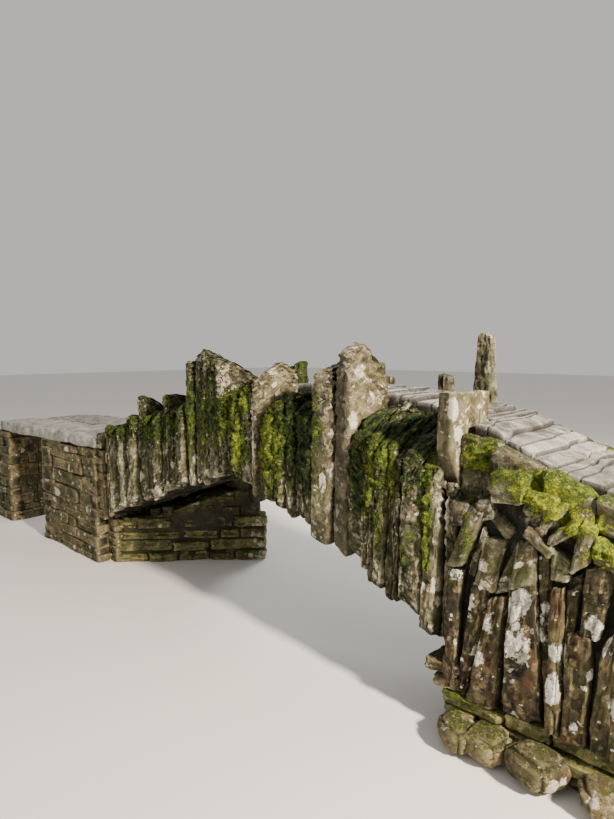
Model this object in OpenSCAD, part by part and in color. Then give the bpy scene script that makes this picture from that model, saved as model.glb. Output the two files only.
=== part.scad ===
// Packhorse bridge of slate slabs set on edge, with a clapper span on the left.
// Millimetres. X runs along the bridge, Y across it, Z up from the water line.
// Every measured place scales with the span, the crown height or the width.

/* [Arch] */
// Clear span of the arch at its springing
arch_span = 4500; // [3600:50:5600]
// Height of the crown of the arch above the water line
crown_height = 1430; // [1100:10:1900]
// Rise of the arch from springing to crown
arch_rise = 830; // [600:10:1100]
// Bend of the flat left haunch, 1 is straight
left_bend = 1.22; // [1:0.01:2]
// Bend of the fuller right haunch
right_bend = 1.42; // [1:0.01:2]
// Lean of the slabs right of the crown, degrees
slab_lean = 1.5; // [0:0.5:8]
// How far the joints lean this way and that, degrees
joint_play = 1.2; // [0:0.1:2]

/* [Body] */
// Overall width of the bridge
bridge_width = 1500; // [1200:20:1900]
// Length from the middle of the arch to either end
half_length = 5570; // [5200:10:7000]
// Depth of the near slabs into the body
near_depth = 580; // [450:10:650]
// Depth of the wing walls into the body
wing_depth = 250; // [180:10:340]
// Roughness of the faces, how far a slab stands out
face_play = 42; // [0:1:60]
// Unevenness of the slab tails under the arch
tail_play = 28; // [0:1:40]
// Slope of the slab heads along the bridge
head_play = 34; // [0:1:60]

/* [Deck] */
// Depth of the pitched paving
paving_depth = 130; // [80:5:180]
// Width of one paving strip along the bridge
strip_width = 140; // [90:5:220]
// Unevenness of the worn paving
paving_play = 12; // [0:1:20]
// Width of the far parapet slabs
parapet_width = 140; // [100:5:180]

/* [Slabs] */
// Thickness of the slabs inside the arch
core_slab = 170; // [100:5:260]
// Thickness of the slabs on the far face
far_slab = 125; // [80:5:200]
// Height of the great slab above the paving
great_height = 400; // [250:10:600]
// Height of the far standing stone above the paving
stone_height = 560; // [350:10:800]

/* [Left side] */
// Thickness of the clapper slabs
clapper_thickness = 150; // [100:5:200]
// Length of the pier at the clapper's outer end
end_pier_length = 570; // [350:10:900]
// Shift of the skewed plinth face from near to far
plinth_skew = 1250; // [600:50:1600]
// Height of the plinth at its near end
plinth_height = 560; // [400:10:650]
// Height of one course in the piers
course_height = 130; // [80:5:200]

/* [Hidden] */

kx = arch_span / 4500;
kz = crown_height / 1430;
ky = bridge_width / 1500;
half_w = bridge_width / 2;
datum = 1000 * kz;
near_in = -half_w + near_depth;
far_in = half_w - near_depth;
wing_in = half_w - wing_depth;
deck_far = half_w - parapet_width;
end_x = half_length;
spring_x = 2310 * kx;
pier_x = -2250 * kx;

slate = [0.45, 0.40, 0.33];
pale = [0.72, 0.68, 0.60];
moss = [0.42, 0.47, 0.20];
brown = [0.40, 0.33, 0.24];

// Stones of one node run this far into the next, so that they are one solid
lap = 2;
// Repeatable play between -1 and 1 for stone number i
function play(i) = let (s = sin(i * 127.1 + 31.7) * 437.585) 2 * (s - floor(s)) - 1;
function bend(x) = x < 0 ? left_bend : right_bend;
function soffit(x) = crown_height - arch_rise * pow(min(1.1, abs(x) / (arch_span / 2)), bend(x));
function lean(x) = x < pier_x + 1 ? 0
  : slab_lean * max(0, min(1, x / (1500 * kx))) + joint_play * play(x / 100);
// Place at height z of the leaning joint that passes x at the datum height
function joint(x, z) = x + (z - datum) * tan(lean(x));
ramp_x = joint(spring_x, 1934 * kz);
function tail(x) = soffit(joint(x, soffit(x)));

// Top of the paving, places along the bridge and heights
deck_line = [for (p = [[-2400, 1570], [-1800, 1765], [-1100, 2010], [-300, 2190],
  [500, 2270], [1400, 2230], [2400, 2080], [3000, 1830], [4200, 1500]])
  [p[0] * kx, p[1] * kz], [end_x, 1320 * kz]];
function deck_z(x) = lookup(x, deck_line);
function under_z(x) = deck_z(x) - paving_depth;

// Solid from a side view outline, between two places across the bridge
module side_cut(y0, y1, pts) {
  translate([0, y1, 0]) rotate([90, 0, 0]) linear_extrude(y1 - y0) polygon(pts);
}
// Solid from an end view outline, between two places along the bridge
module end_cut(x0, x1, pts) {
  translate([x0, 0, 0]) rotate([90, 0, 90]) linear_extrude(x1 - x0) polygon(pts);
}
// One slab on edge between the joints x0 and x1: tails b0 and b1, near, peak and back
// heights, the drop of the head to either joint, and a tail worn back at the near face
module slab(x0, x1, y0, y1, b0, b1, near_top, peak, back, where, c0, c1, over) {
  t = max(near_top, peak, back);
  b = min(b0, b1);
  m = (x0 + x1) / 2 + (x1 - x0) * 0.2 * play(x0);
  intersection() {
    side_cut(y0, y1, [[joint(x0, b0), b0], [joint(x1, b1) + over, b1], [joint(x1, t - c1) + over, t - c1],
      [joint(m, t), t], [joint(x0, t - c0), t - c0]]);
    end_cut(joint(x0, 0) - 900, joint(x1, t) + 900, [[y0 + 0.2 * (b + 110), 0], [y1, 0],
      [y1, back], [y0 + (y1 - y0) * where, peak], [y0, near_top], [y0, b + 110]]);
  }
}
// Slabs of the near face that spring from the arch, from a table of places and heights
module near_slabs(table, where = 0.4) {
  for (k = [0:len(table) - 1]) {
    r = table[k];
    i = abs(r[0]);
    s = tail_play * play(i);
    e = 12 * play(i + 2);
    over = k < len(table) - 1 && table[k + 1][0] == r[1] ? lap : 0;
    w = len(r) > 5 ? r[5] : where;
    slab(r[0] * kx, r[1] * kx, -half_w + face_play * (0.5 + 0.5 * play(i + 7)), near_in,
      tail(r[0] * kx) + s + e, tail(r[1] * kx) + s - e, r[2] * kz, r[3] * kz, r[4] * kz, w,
      head_play * (0.5 + 0.5 * play(i + 4)), head_play * (0.5 + 0.5 * play(i + 5)), over);
  }
}
// Everything below the paving
module below_deck(y0, y1) {
  side_cut(y0, y1, concat([[deck_line[0][0] - 200, -10], [end_x, -10]],
    [for (i = [len(deck_line) - 1:-1:0]) deck_line[i] - [0, paving_depth]],
    [[deck_line[0][0] - 200, deck_line[0][1] - paving_depth]]));
}
// Slabs of even thickness from the arch up to the underside of the paving
module body_slabs(x0, x1, size, y0, y1, seed, rough) {
  n = max(2, round((x1 - x0) / size));
  d = (x1 - x0) / n;
  intersection() {
    union() for (i = [0:n - 1]) {
      a = x0 + i * d;
      b = a + d;
      l = i < n - 1 ? lap : 0;
      s = tail_play * 0.8 * play(seed + i);
      side_cut(y0, y1 - rough * face_play * (0.5 + 0.5 * play(seed + i + 3)),
        [[joint(a, tail(a) + s), tail(a) + s], [joint(b, tail(b) + s) + l, tail(b) + s],
        [joint(b, 2600 * kz) + l, 2600 * kz], [joint(a, 2600 * kz), 2600 * kz]]);
    }
    below_deck(y0 - 1, y1 + 1);
  }
}
// Pitched paving strips between two places along the bridge, each a little up or down
module paving(x0, x1, y0, y1, seed) {
  knots = concat([x0], [for (p = deck_line) if (p[0] > x0 + 1 && p[0] < x1 - 1) p[0]], [x1]);
  strips = [for (k = [0:len(knots) - 2])
    let (n = max(1, round((knots[k + 1] - knots[k]) / strip_width)), d = (knots[k + 1] - knots[k]) / n)
    for (i = [0:n - 1])
    [knots[k] + i * d, knots[k] + (i + 1) * d, paving_play * play(seed + k * 17 + i)]];
  side_cut(y0, y1, concat([for (x = knots) [x, under_z(x)]],
    [for (i = [len(strips) - 1:-1:0]) for (x = [strips[i][1], strips[i][0]]) [x, deck_z(x) + strips[i][2]]]));
}
// Flat courses on a four-cornered plan
module courses(plan, z0, z1, seed) {
  n = max(2, round((z1 - z0) / course_height));
  h = (z1 - z0) / n;
  for (i = [0:n - 1]) {
    s = face_play * 0.6;
    translate([0, 0, z0 + i * h]) linear_extrude(h) polygon([
      plan[0] + s * [abs(play(seed + i)), abs(play(seed + i + 11))],
      plan[1] + s * [-abs(play(seed + i + 5)), abs(play(seed + i + 17))],
      plan[2] + s * [-abs(play(seed + i + 8)), -abs(play(seed + i + 23))],
      plan[3] + s * [abs(play(seed + i + 9)), -abs(play(seed + i + 29))]]);
  }
}

// Clapper span and left side
clap_x0 = -end_x + 60;
end_pier_x = -end_x + end_pier_length;
clap_x1 = -2400 * kx;
clap_z0 = 1500 * kz;
clap_z1 = 1560 * kz;
plinth_top = min(plinth_height, crown_height - arch_rise - tail_play - 12);
function clap_z(x) = clap_z0 + (clap_z1 - clap_z0) * (x - clap_x0) / (clap_x1 - clap_x0);
function clap_under(x) = clap_z(x) - clapper_thickness;
module below_clapper() {
  side_cut(-half_w - 9, half_w + 9, [[-end_x - 9, -9], [pier_x, -9],
    [pier_x, clap_under(pier_x)], [-end_x - 9, clap_under(-end_x - 9)]]);
}
module clapper(y0, y1, drop) {
  side_cut(y0, y1, [[clap_x0, clap_under(clap_x0)], [clap_x1, clap_under(clap_x1)],
    [clap_x1, clap_z(clap_x1) - drop], [clap_x1 - 1200 * kx, clap_z(clap_x1 - 1200 * kx)],
    [clap_x0, clap_z(clap_x0) - drop]]);
}
module clapper_near_slab() color(pale) clapper(-half_w, -20, 12);
module clapper_far_slab() color(pale) clapper(-20, half_w - 25, 20);
module clapper_end_pier() color(brown) intersection() {
  courses([[-end_x, -half_w], [end_pier_x, -half_w], [end_pier_x, half_w], [-end_x, half_w]],
    0, 1500 * kz, 3);
  below_clapper();
}
module left_pier() color(slate) intersection() {
  union() {
    courses([[-3900 * kx, -half_w], [pier_x - 150 * kx, -half_w],
      [pier_x - 150 * kx, half_w], [-3900 * kx, half_w]], 0, 1560 * kz, 41);
    translate([pier_x - 220 * kx, -half_w + 150, 0]) cube([220 * kx, bridge_width - 165, 1560 * kz]);
    translate([pier_x - 190 * kx, -half_w + 20, plinth_top]) cube([190 * kx, 200, 1560 * kz - plinth_top]);
  }
  below_clapper();
}
function plinth_face(f) = [pier_x + plinth_skew * ky * f, -half_w + 150 + (bridge_width - 164) * f];
module left_plinth() color(moss) {
  n = max(3, round(plinth_top / (course_height * 0.8)));
  h = plinth_top / n;
  for (i = [0:n - 1]) {
    j = 24 * play(i + 61);
    translate([0, 0, i * h]) linear_extrude(h) polygon([[pier_x, -half_w + 150 - j],
      [pier_x + 40 + j, -half_w + 175 - j], plinth_face(1) + [j, j / 2], [pier_x, half_w + j / 2 - 14]]);
  }
  // upper courses step up towards the far end, clear of the slab tails
  for (i = [0:2]) {
    z = plinth_top + i * h * 0.9;
    top = z + h * 0.9;
    f = 0.3 + 0.24 * i;
    back = max(pier_x, -arch_span / 2 * pow((crown_height - top - 60) / arch_rise, 1 / left_bend));
    if (back < plinth_face(f)[0] - 60 && crown_height - top > 300)
      translate([0, 0, z]) linear_extrude(h * 0.9) polygon([[back, plinth_face(f)[1] + 10],
        plinth_face(f), plinth_face(0.97 - 0.03 * i), [back, plinth_face(0.97 - 0.03 * i)[1]]]);
  }
}
module left_end_posts() color(slate)
  for (s = [[-736, -425, 1600], [-425, -90, 1570], [-90, 280, 1585], [280, 690, 1560]])
    side_cut(s[0] * ky, s[1] * ky, [[pier_x - 140 * kx, clap_under(pier_x)],
      [pier_x, clap_under(pier_x)], [pier_x, s[2] * kz], [pier_x - 95 * kx, s[2] * kz - 12]]);

// Near face, places along the bridge and heights of each slab
block_foot = 1640;
block_x = 2175 * kx;
module left_haunch_near_slabs() color(slate) near_slabs([
  [-2250, -2160, 1600, 1640, 1600], [-2160, -2050, 1700, 1700, 1640], [-2050, -1950, 1720, 1700, 1650],
  [-1950, -1850, 1700, 1720, 1690], [-1850, -1750, 1715, 1760, 1740], [-1750, -1640, 1850, 1840, 1800],
  [-1640, -1530, 1850, 1870, 1840], [-1420, -1340, 1880, 1900, 1890], [-1340, -1200, 1800, 1910, 1910],
  [-1200, -1130, 1850, 1930, 1940], [-1130, -1050, 1890, 1980, 1980], [-950, -850, 1930, 2020, 2020],
  [-850, -750, 1960, 2060, 2050], [-750, -620, 2020, 2090, 2090]]);
module west_pointed_slab() color(slate) near_slabs([[-1530, -1420, 2110, 2040, 1850]], 0.3);
module second_pointed_slab() color(slate) near_slabs([[-1050, -950, 2110, 2150, 2030]], 0.25);
module tall_block_slabs() color(slate) near_slabs([[-620, -530, 2460, 2480, 2250],
  [-530, -390, 2560, 2575, 2330], [-390, -300, 2590, 2560, 2310], [-300, -150, 2530, 2540, 2290]]);
module thin_edge_slab() color(pale) near_slabs([[-150, -100, 2500, 2470, 2300]], 0.3);
module crown_near_slabs() color(moss) near_slabs([[-100, 0, 2150, 2230, 2230],
  [0, 97, 2190, 2240, 2240], [97, 187, 2200, 2250, 2250], [187, 313, 2270, 2290, 2260]]);
module pale_crown_slab() color(pale) near_slabs([[313, 404, 2300, 2480, 2400]], 0.6);
module crown_right_slabs() color(moss) near_slabs([[404, 518, 2010, 2120, 2190],
  [518, 638, 2080, 2150, 2200], [638, 745, 2150, 2210, 2230], [745, 848, 2220, 2230, 2230],
  [848, 956, 2110, 2180, 2210], [956, 1065, 2090, 2170, 2200]]);
module grey_crown_slab() color(slate) near_slabs([[1065, 1210, 2430, 2480, 2330]], 0.35);
module great_slab() color(slate) {
  t = (deck_z(1200 * kx) + great_height) / kz;
  near_slabs([[1210, 1358, t - 80, t, t - 270]], 0.3);
}
module right_haunch_near_slabs() color(slate) near_slabs([
  [1358, 1400, 2290, 2330, 2200], [1400, 1555, 1930, 2090, 2160], [1555, 1610, 1880, 2060, 2160],
  [1610, 1672, 1960, 2070, 2150], [1672, 1765, 1870, 2030, 2140], [1765, 1830, 1910, 2000, 2120],
  [1830, 1900, 1840, 1960, 2110], [1900, 2085, 1870, 1970, 2080],
  [2085, 2215, 1770, block_foot, block_foot, 0.25], [2215, 2310, 1720, block_foot, block_foot, 0.25]]);
// A slab on end, in from the near face, that stands on the last two slabs of the haunch
module end_block_slab() color(pale) {
  b = block_foot * kz;
  intersection() {
    side_cut(-half_w + 24, near_in - 4, [[block_x, b], [block_x + 100, b], [block_x + 112, b + 655],
      [block_x + 70, b + 670], [block_x + 12, b + 650]]);
    end_cut(block_x - 50, block_x + 200, [[-half_w + 190, b - 20], [near_in - 30, b - 20],
      [near_in - 4, b + 200], [near_in - 30, b + 630], [-half_w + 240, b + 672],
      [-half_w + 40, b + 655], [-half_w + 24, b + 440]]);
  }
}

// Inside and far rows of the arch
left_end = pier_x;
mid_a = -700 * kx;
mid_b = 700 * kx;
module left_haunch_core_slabs() color(slate) body_slabs(left_end, mid_a, core_slab, near_in, far_in, 70, 0);
module crown_core_slabs() color(slate) body_slabs(mid_a, mid_b, core_slab, near_in, far_in, 90, 0);
module right_haunch_core_slabs() color(slate) body_slabs(mid_b, spring_x, core_slab, near_in, far_in, 110, 0);
module left_haunch_far_slabs() color(slate) body_slabs(left_end, mid_a, far_slab, far_in, half_w, 130, 1);
module crown_far_slabs() color(slate) body_slabs(mid_a, mid_b, far_slab, far_in, half_w, 160, 1);
module right_haunch_far_slabs() color(slate) body_slabs(mid_b, spring_x, far_slab, far_in, half_w, 190, 1);

// Slab that stands on the far edge, on the underside line of the paving
module standing(x0, x1, h0, h1, y0, y1) {
  side_cut(y0, y1, [[x0, under_z(x0)], [x1, under_z(x1)],
    [x1, deck_z(x1) + h1], [x0, deck_z(x0) + h0]]);
}
module far_parapet_slabs() color(slate)
  for (s = [[-1800, -1690, 60, 40], [-1690, -1560, 150, 130], [-1560, -1450, 40, 30],
    [-1000, -880, 110, 140], [-880, -740, 30, 50], [-560, -430, 210, 240],
    [-430, -300, 260, 250], [500, 610, 90, 70], [610, 760, 200, 190],
    [760, 890, 60, 80], [1400, 1520, 150, 130]])
    standing(s[0] * kx, s[1] * kx, s[2] * kz, s[3] * kz, deck_far, half_w - 40);
module far_standing_stone() color(slate) {
  a = 1730 * kx;
  h = deck_z(a) + stone_height;
  intersection() {
    side_cut(deck_far, half_w - 5, [[a, under_z(a)], [a + 200 * kx, under_z(a + 200 * kx)],
      [a + 150 * kx, h - 20], [a + 95 * kx, h], [a + 40 * kx, h - 40]]);
    end_cut(a - 50, a + 260 * kx, [[deck_far, 0], [half_w - 5, 0], [half_w - 25, h], [deck_far + 30, h]]);
  }
}

module deck_left_paving() color(pale) paving(pier_x, mid_a, near_in, deck_far, 5);
module deck_crown_paving() color(pale) paving(mid_a, mid_b, near_in, deck_far, 25);
module deck_right_paving() color(pale) paving(mid_b, ramp_x, near_in, deck_far, 45);
module ramp_paving() color(pale) paving(ramp_x, end_x, -wing_in, wing_in, 65);

// Right abutment, wing walls and their feet
foot_z = 300 * kz;
heel_z = 500 * kz;
wing = [[2310, 2385, 1080], [2385, 2520, 1090], [2520, 2690, 1400], [2690, 2890, 1430],
  [2890, 2955, 1360], [2955, 3035, 1210], [3035, 3090, 1310], [3090, 3200, 1380], [3200, 3330, 1060],
  [3330, 3560, 1150], [3560, 3790, 1120], [3790, 3960, 1060], [3960, 4210, 1040], [4210, 4400, 980],
  [4400, 4660, 960], [4660, 4850, 920], [4850, 5110, 900], [5110, 5300, 880]];
wing_step = (end_x - 3390 * kx) / (5300 - 3390);
function wing_x(x) = x <= 3390 ? x * kx : 3390 * kx + (x - 3390) * wing_step;
function wjoint(x, z) = x > end_x - 1 ? end_x : min(end_x - 5, joint(x, z));
// The lower of two neighbours laps the joint to the left or right of stone number i
function wing_top(i) = i < 0 || i >= len(wing) ? -1 : wing[i][2];
function lap_left(i) = wing_top(i) < wing_top(i - 1) ? lap : 0;
function lap_right(i) = wing_top(i) <= wing_top(i + 1) ? lap : 0;
module wing_slab(i, y0, y1) {
  s = wing[i];
  b = s[0] < 2380 ? heel_z : foot_z;
  t = s[2] * kz;
  a = wing_x(s[0]);
  c = wing_x(s[1]);
  l = lap_left(i);
  r = lap_right(i);
  side_cut(y0, y1, [[wjoint(a, b) - l, b], [wjoint(c, b) + r, b],
    [wjoint(c, t) + r, t], [wjoint(a, t) - l, t]]);
}
module right_wing_near_slabs() color(slate)
  for (i = [0:len(wing) - 1])
    wing_slab(i, -half_w + 20 + face_play * play(wing[i][0]) / 2, -wing_in);
module right_wing_far_slabs() color(slate)
  for (i = [0:len(wing) - 1])
    wing_slab(i, wing_in, half_w - 20 + face_play * play(wing[i][0] + 2) / 2);
// Stones above the wing slabs: their beds slope this way and that between the same joints
function rubble_top(x) = deck_z(x) - 15;
function bed(x, k, n, b, seed) =
  b + (rubble_top(joint(x, 1600 * kz)) - b) * (k + 0.36 * play(seed + x + k * 3)) / n;
module rubble(y0, y1, side, seed) {
  for (i = [0:len(wing) - 1]) {
    a = wing_x(wing[i][0]);
    c = wing_x(wing[i][1]);
    b = wing[i][2] * kz;
    n = max(2, round((rubble_top(joint((a + c) / 2, 1600 * kz)) - b) / 165));
    for (k = [0:n - 1]) {
      j = face_play * (0.5 + 0.5 * play(seed + i * 5 + k * 7));
      l0 = k == 0 ? b : bed(a, k, n, b, seed + 31 * i);
      r0 = k == 0 ? b : bed(c, k, n, b, seed + 31 * i);
      l1 = k == n - 1 ? rubble_top(joint(a, 1600 * kz)) : bed(a, k + 1, n, b, seed + 31 * i);
      r1 = k == n - 1 ? rubble_top(joint(c, 1600 * kz)) : bed(c, k + 1, n, b, seed + 31 * i);
      // the column with the higher base laps the other
      l = i > 0 && wing_top(i) > wing_top(i - 1) ? lap : 0;
      r = i < len(wing) - 1 && wing_top(i) >= wing_top(i + 1) ? lap : 0;
      d = k > 0 ? lap : 0;
      side_cut(side < 0 ? y0 + j : y0, side < 0 ? y1 : y1 - j, [[wjoint(a, l0) - l, l0 - d],
        [wjoint(c, r0) + r, r0 - d], [wjoint(c, r1) + r, r1], [wjoint(a, l1) - l, l1]]);
    }
  }
}
// The top of the wall face falls away from the paving, with a ledge half way in
wall_line = [for (p = [[2200, 1620], [2555, 1640], [2570, 1810], [2770, 1815], [2810, 1740],
  [3000, 1680], [3200, 1510], [3330, 1450], [4200, 1280]]) [p[0] * kx, p[1] * kz], [end_x + 50, 1150 * kz]];
module wall_limit() {
  ledge = wing_in + wing_depth / 2;
  for (m = [0, 1]) mirror([0, m, 0]) {
    side_cut(-half_w - 9, -ledge, concat([[wall_line[0][0], 0], [end_x + 50, 0]],
      [for (i = [len(wall_line) - 1:-1:0]) wall_line[i]]));
    side_cut(-ledge - 1, -wing_in + 9, concat([[wall_line[0][0], 0], [end_x + 50, 0]],
      [for (i = [len(wall_line) - 1:-1:0]) [wall_line[i][0],
      0.35 * wall_line[i][1] + 0.65 * deck_z(wall_line[i][0]) - 25]]));
  }
}
module right_wing_near_rubble() color(moss) intersection() {
  rubble(-half_w, -wing_in, -1, 7);
  wall_limit();
}
module right_wing_far_rubble() color(moss) intersection() {
  rubble(wing_in, half_w, 1, 9);
  wall_limit();
}
module right_abutment_core() color(brown) intersection() {
  side_cut(-wing_in, wing_in, [[joint(spring_x, 0) + 40, 0], [end_x, 0], [end_x, 2600 * kz],
    [joint(spring_x, 2600 * kz), 2600 * kz], [joint(spring_x, 500 * kz), 500 * kz],
    [joint(spring_x, 500 * kz), 300 * kz]]);
  below_deck(-half_w, half_w);
}
module boulder(x, y, r) {
  intersection() {
    translate([x, y, r * 0.35]) sphere(r = r, $fn = 14);
    translate([x, y, 0]) rotate([0, 0, 24]) translate([-r * 0.85, -r * 0.8, 0])
      cube([r * 1.7, r * 1.6, r * 1.15]);
  }
}
module wing_footing() color(brown) {
  for (m = [0, 1]) mirror([0, m, 0])
    courses([[heel_x - 40, -half_w], [end_x, -half_w], [end_x, -wing_in], [heel_x - 40, -wing_in]],
      0, foot_z, 19 + m);
  boulder(2440 * kx, -half_w - 50, 140);
  boulder(2630 * kx, -half_w - 40, 155);
  boulder(2950 * kx, -half_w - 35, 170);
  boulder(3330 * kx, -half_w - 30, 140);
  boulder(2640 * kx, half_w + 40, 175);
  boulder(3120 * kx, half_w + 30, 150);
}
heel_x = joint(spring_x, heel_z);
module right_springing_stones() color(slate) {
  c = wing_x(wing[1][0]);
  h = (foot_z + heel_z) / 2;
  for (m = [0, 1]) mirror([0, m, 0]) {
    side_cut(-half_w + 26, -wing_in, [[heel_x - 95, foot_z], [joint(c, foot_z), foot_z],
      [joint(c, h), h], [heel_x - 80, h]]);
    side_cut(-half_w + 4, -wing_in, [[heel_x - 150, h], [joint(c, h), h],
      [joint(c, heel_z), heel_z], [heel_x - 140, heel_z]]);
  }
}

clapper_end_pier();
clapper_near_slab();
clapper_far_slab();
left_pier();
left_plinth();
left_end_posts();
left_haunch_near_slabs();
west_pointed_slab();
second_pointed_slab();
tall_block_slabs();
thin_edge_slab();
crown_near_slabs();
pale_crown_slab();
crown_right_slabs();
grey_crown_slab();
great_slab();
right_haunch_near_slabs();
left_haunch_core_slabs();
crown_core_slabs();
right_haunch_core_slabs();
left_haunch_far_slabs();
crown_far_slabs();
right_haunch_far_slabs();
far_parapet_slabs();
far_standing_stone();
end_block_slab();
deck_left_paving();
deck_crown_paving();
deck_right_paving();
ramp_paving();
right_springing_stones();
wing_footing();
right_abutment_core();
right_wing_near_slabs();
right_wing_near_rubble();
right_wing_far_slabs();
right_wing_far_rubble();
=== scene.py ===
# Packhorse bridge of slate slabs set on edge, dressed stone by stone around its solid model.
import bpy
import math
import numpy as np
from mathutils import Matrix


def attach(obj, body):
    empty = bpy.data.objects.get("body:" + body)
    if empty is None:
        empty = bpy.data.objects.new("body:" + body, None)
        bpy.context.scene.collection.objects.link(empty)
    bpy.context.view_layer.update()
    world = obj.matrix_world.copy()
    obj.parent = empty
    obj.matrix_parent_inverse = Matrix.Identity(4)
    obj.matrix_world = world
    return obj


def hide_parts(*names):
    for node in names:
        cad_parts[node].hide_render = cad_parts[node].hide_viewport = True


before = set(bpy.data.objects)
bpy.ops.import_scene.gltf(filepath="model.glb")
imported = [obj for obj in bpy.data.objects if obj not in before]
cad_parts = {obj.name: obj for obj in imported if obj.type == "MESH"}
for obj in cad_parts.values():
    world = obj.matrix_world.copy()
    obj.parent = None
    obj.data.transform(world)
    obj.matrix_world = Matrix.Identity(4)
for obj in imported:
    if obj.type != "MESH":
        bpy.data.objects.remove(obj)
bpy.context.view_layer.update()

# camera first: the photograph's own standpoint, on the near right bank
viewPoint = dict(place=(4.17, -4.137, 2.578), turn=42.7, down=5.749, focalPixels=591.0, framePixels=819.0,
                 sensorMm=36.0)
lens = bpy.data.cameras.new("photoView")
lens.sensor_fit = "VERTICAL"
lens.sensor_height = viewPoint["sensorMm"]
lens.lens = viewPoint["sensorMm"] * viewPoint["focalPixels"] / viewPoint["framePixels"]
eye = bpy.data.objects.new("photoView", lens)
eye.location = viewPoint["place"]
eye.rotation_euler = (math.radians(90 - viewPoint["down"]), 0, math.radians(viewPoint["turn"]))
bpy.context.scene.collection.objects.link(eye)
bpy.context.scene.camera = eye
print("camera set")

# the bridge's own lines in metres, as its solid model has them; lean and play of the joints are in degrees
bridge = dict(halfSpan=2.25, crown=1.43, rise=0.83, leftBend=1.22, rightBend=1.42, lean=1.5, jointPlay=1.2, datum=1.0,
              halfWidth=0.75, nearDepth=0.58, halfLength=5.57, pavingDepth=0.13, pierX=-2.25, springX=2.31)
# top of the path, and top of the wing walls
deckX = np.array([-2.4, -1.8, -1.1, -0.3, 0.5, 1.4, 2.4, 3.0, 4.2, 5.57])
deckTop = np.array([1.57, 1.765, 2.01, 2.19, 2.27, 2.23, 2.08, 1.83, 1.50, 1.32])
wallX = np.array([2.2, 2.555, 2.57, 2.77, 2.81, 3.0, 3.2, 3.33, 4.2, 5.62])
wallTop = np.array([1.62, 1.64, 1.81, 1.815, 1.74, 1.68, 1.51, 1.45, 1.28, 1.15])


def soffit(x):
    # crown height less the rise times (distance from the middle / half span) to the haunch's bend
    part = np.minimum(1.1, np.abs(x) / bridge["halfSpan"])
    return bridge["crown"] - bridge["rise"] * part ** np.where(x < 0, bridge["leftBend"], bridge["rightBend"])


def joint(x, z):
    # place at height z of the leaning joint that passes x at the datum: x + (z - datum) * tan(lean), where the
    # lean grows to the right of the crown and plays by 2 * frac(437.585 * sin(1271 x + 31.7 degrees)) - 1
    s = np.sin(np.radians(x * 1271 + 31.7)) * 437.585
    play = 2 * (s - np.floor(s)) - 1
    lean = bridge["lean"] * np.clip(x / 1.5, 0, 1) + bridge["jointPlay"] * play
    lean = np.where((x < bridge["pierX"] + 0.001) | (x > bridge["halfLength"] - 0.001), 0, lean)
    return x + (z - bridge["datum"]) * np.tan(np.radians(lean))


def tail(x):
    # height where the joint that passes x at the datum meets the soffit
    return soffit(joint(x, soffit(x)))


def deckLine(x):
    return np.interp(x, deckX, deckTop)


def wallLine(x):
    return np.interp(x, wallX, wallTop)


def ramp(value, start, over):
    # 0 up to start, then rises to 1 within over
    return np.clip((value - start) / over, 0, 1)


# repeatable noise on whole arrays
def cornerValue(ix, iy, iz, seed):
    # integer hash of a lattice corner, from 0 to 1
    h = (ix * 374761393 + iy * 668265263 + iz * 1442695041 + seed * 974634777) & 0xFFFFFFFF
    h = ((h ^ (h >> 13)) * 1274126177) & 0xFFFFFFFF
    return ((h ^ (h >> 16)) & 0xFFFFFF) / 16777215.0


def noise(p, seed=0):
    # value noise: the eight corner values blended by t*t*(3-2t) along each axis, from -1 to 1
    base = np.floor(p).astype(np.int64)
    t = p - base
    t = t * t * (3 - 2 * t)
    total = np.zeros(len(p))
    for dx in (0, 1):
        wx = t[:, 0] if dx else 1 - t[:, 0]
        for dy in (0, 1):
            wy = t[:, 1] if dy else 1 - t[:, 1]
            for dz in (0, 1):
                wz = t[:, 2] if dz else 1 - t[:, 2]
                total += wx * wy * wz * cornerValue(base[:, 0] + dx, base[:, 1] + dy, base[:, 2] + dz, seed)
    return total * 2 - 1


def layered(p, seed=0, octaves=3):
    # noise plus half as much at twice the pitch, and so on
    total, size = np.zeros(len(p)), 1.0
    for k in range(octaves):
        total += noise(p * 2.0 ** k, seed + 7 * k) * size
        size *= 0.5
    return total / 1.75


def broken(p, pitch, seed):
    # one random height from -1 to 1 for each cell of a lattice of the given pitches, as slate breaks in steps
    cell = np.floor(p / np.asarray(pitch)).astype(np.int64)
    return cornerValue(cell[:, 0], cell[:, 1], cell[:, 2], seed) * 2 - 1


def draw(seed, low=0.0, high=1.0):
    # one even draw for each seed, the same each run
    return float(np.random.default_rng(seed).uniform(low, high))


# one stone: a gridded block, rounded, chipped, bent to its outline and broken along its grain
gridCache = {}
# metres of rounding at the edges, of steps, flakes, lumps, fine waves and ragged ends; then how many chipped corners
slabLook = dict(rounding=0.028, step=0.016, flake=0.007, lump=0.020, fine=0.0035, ragged=0.045, chips=10)
blockLook = dict(slabLook, step=0.005, flake=0.0, lump=0.005, fine=0.001, ragged=0.02, chips=7)
rubbleLook = dict(rounding=0.026, step=0.010, flake=0.008, lump=0.018, fine=0.0035, ragged=0.0, chips=10)
pavingLook = dict(rounding=0.005, step=0.003, flake=0.004, lump=0.004, fine=0.001, ragged=0.0, chips=4)
courseLook = dict(rounding=0.016, step=0.009, flake=0.006, lump=0.012, fine=0.0035, ragged=0.0, chips=8)
plainLook = dict(rounding=0.01, step=0.0, flake=0.0, lump=0.0, fine=0.0, ragged=0.0, chips=0)
# slate breaks in leaves: pitch of the steps through and across the leaves, how much wider the broad steps are, and
# how far the leaves waver, in metres; then waves a metre of the flakes, lumps, fine waves and torn ends
breaking = dict(through=0.022, across=0.055, broad=2.6, waver=0.014, flakes=7, lumps=5.5, fine=31, torn=14,
                tornPart=0.14, chipDepth=(0.04, 0.17))


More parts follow.
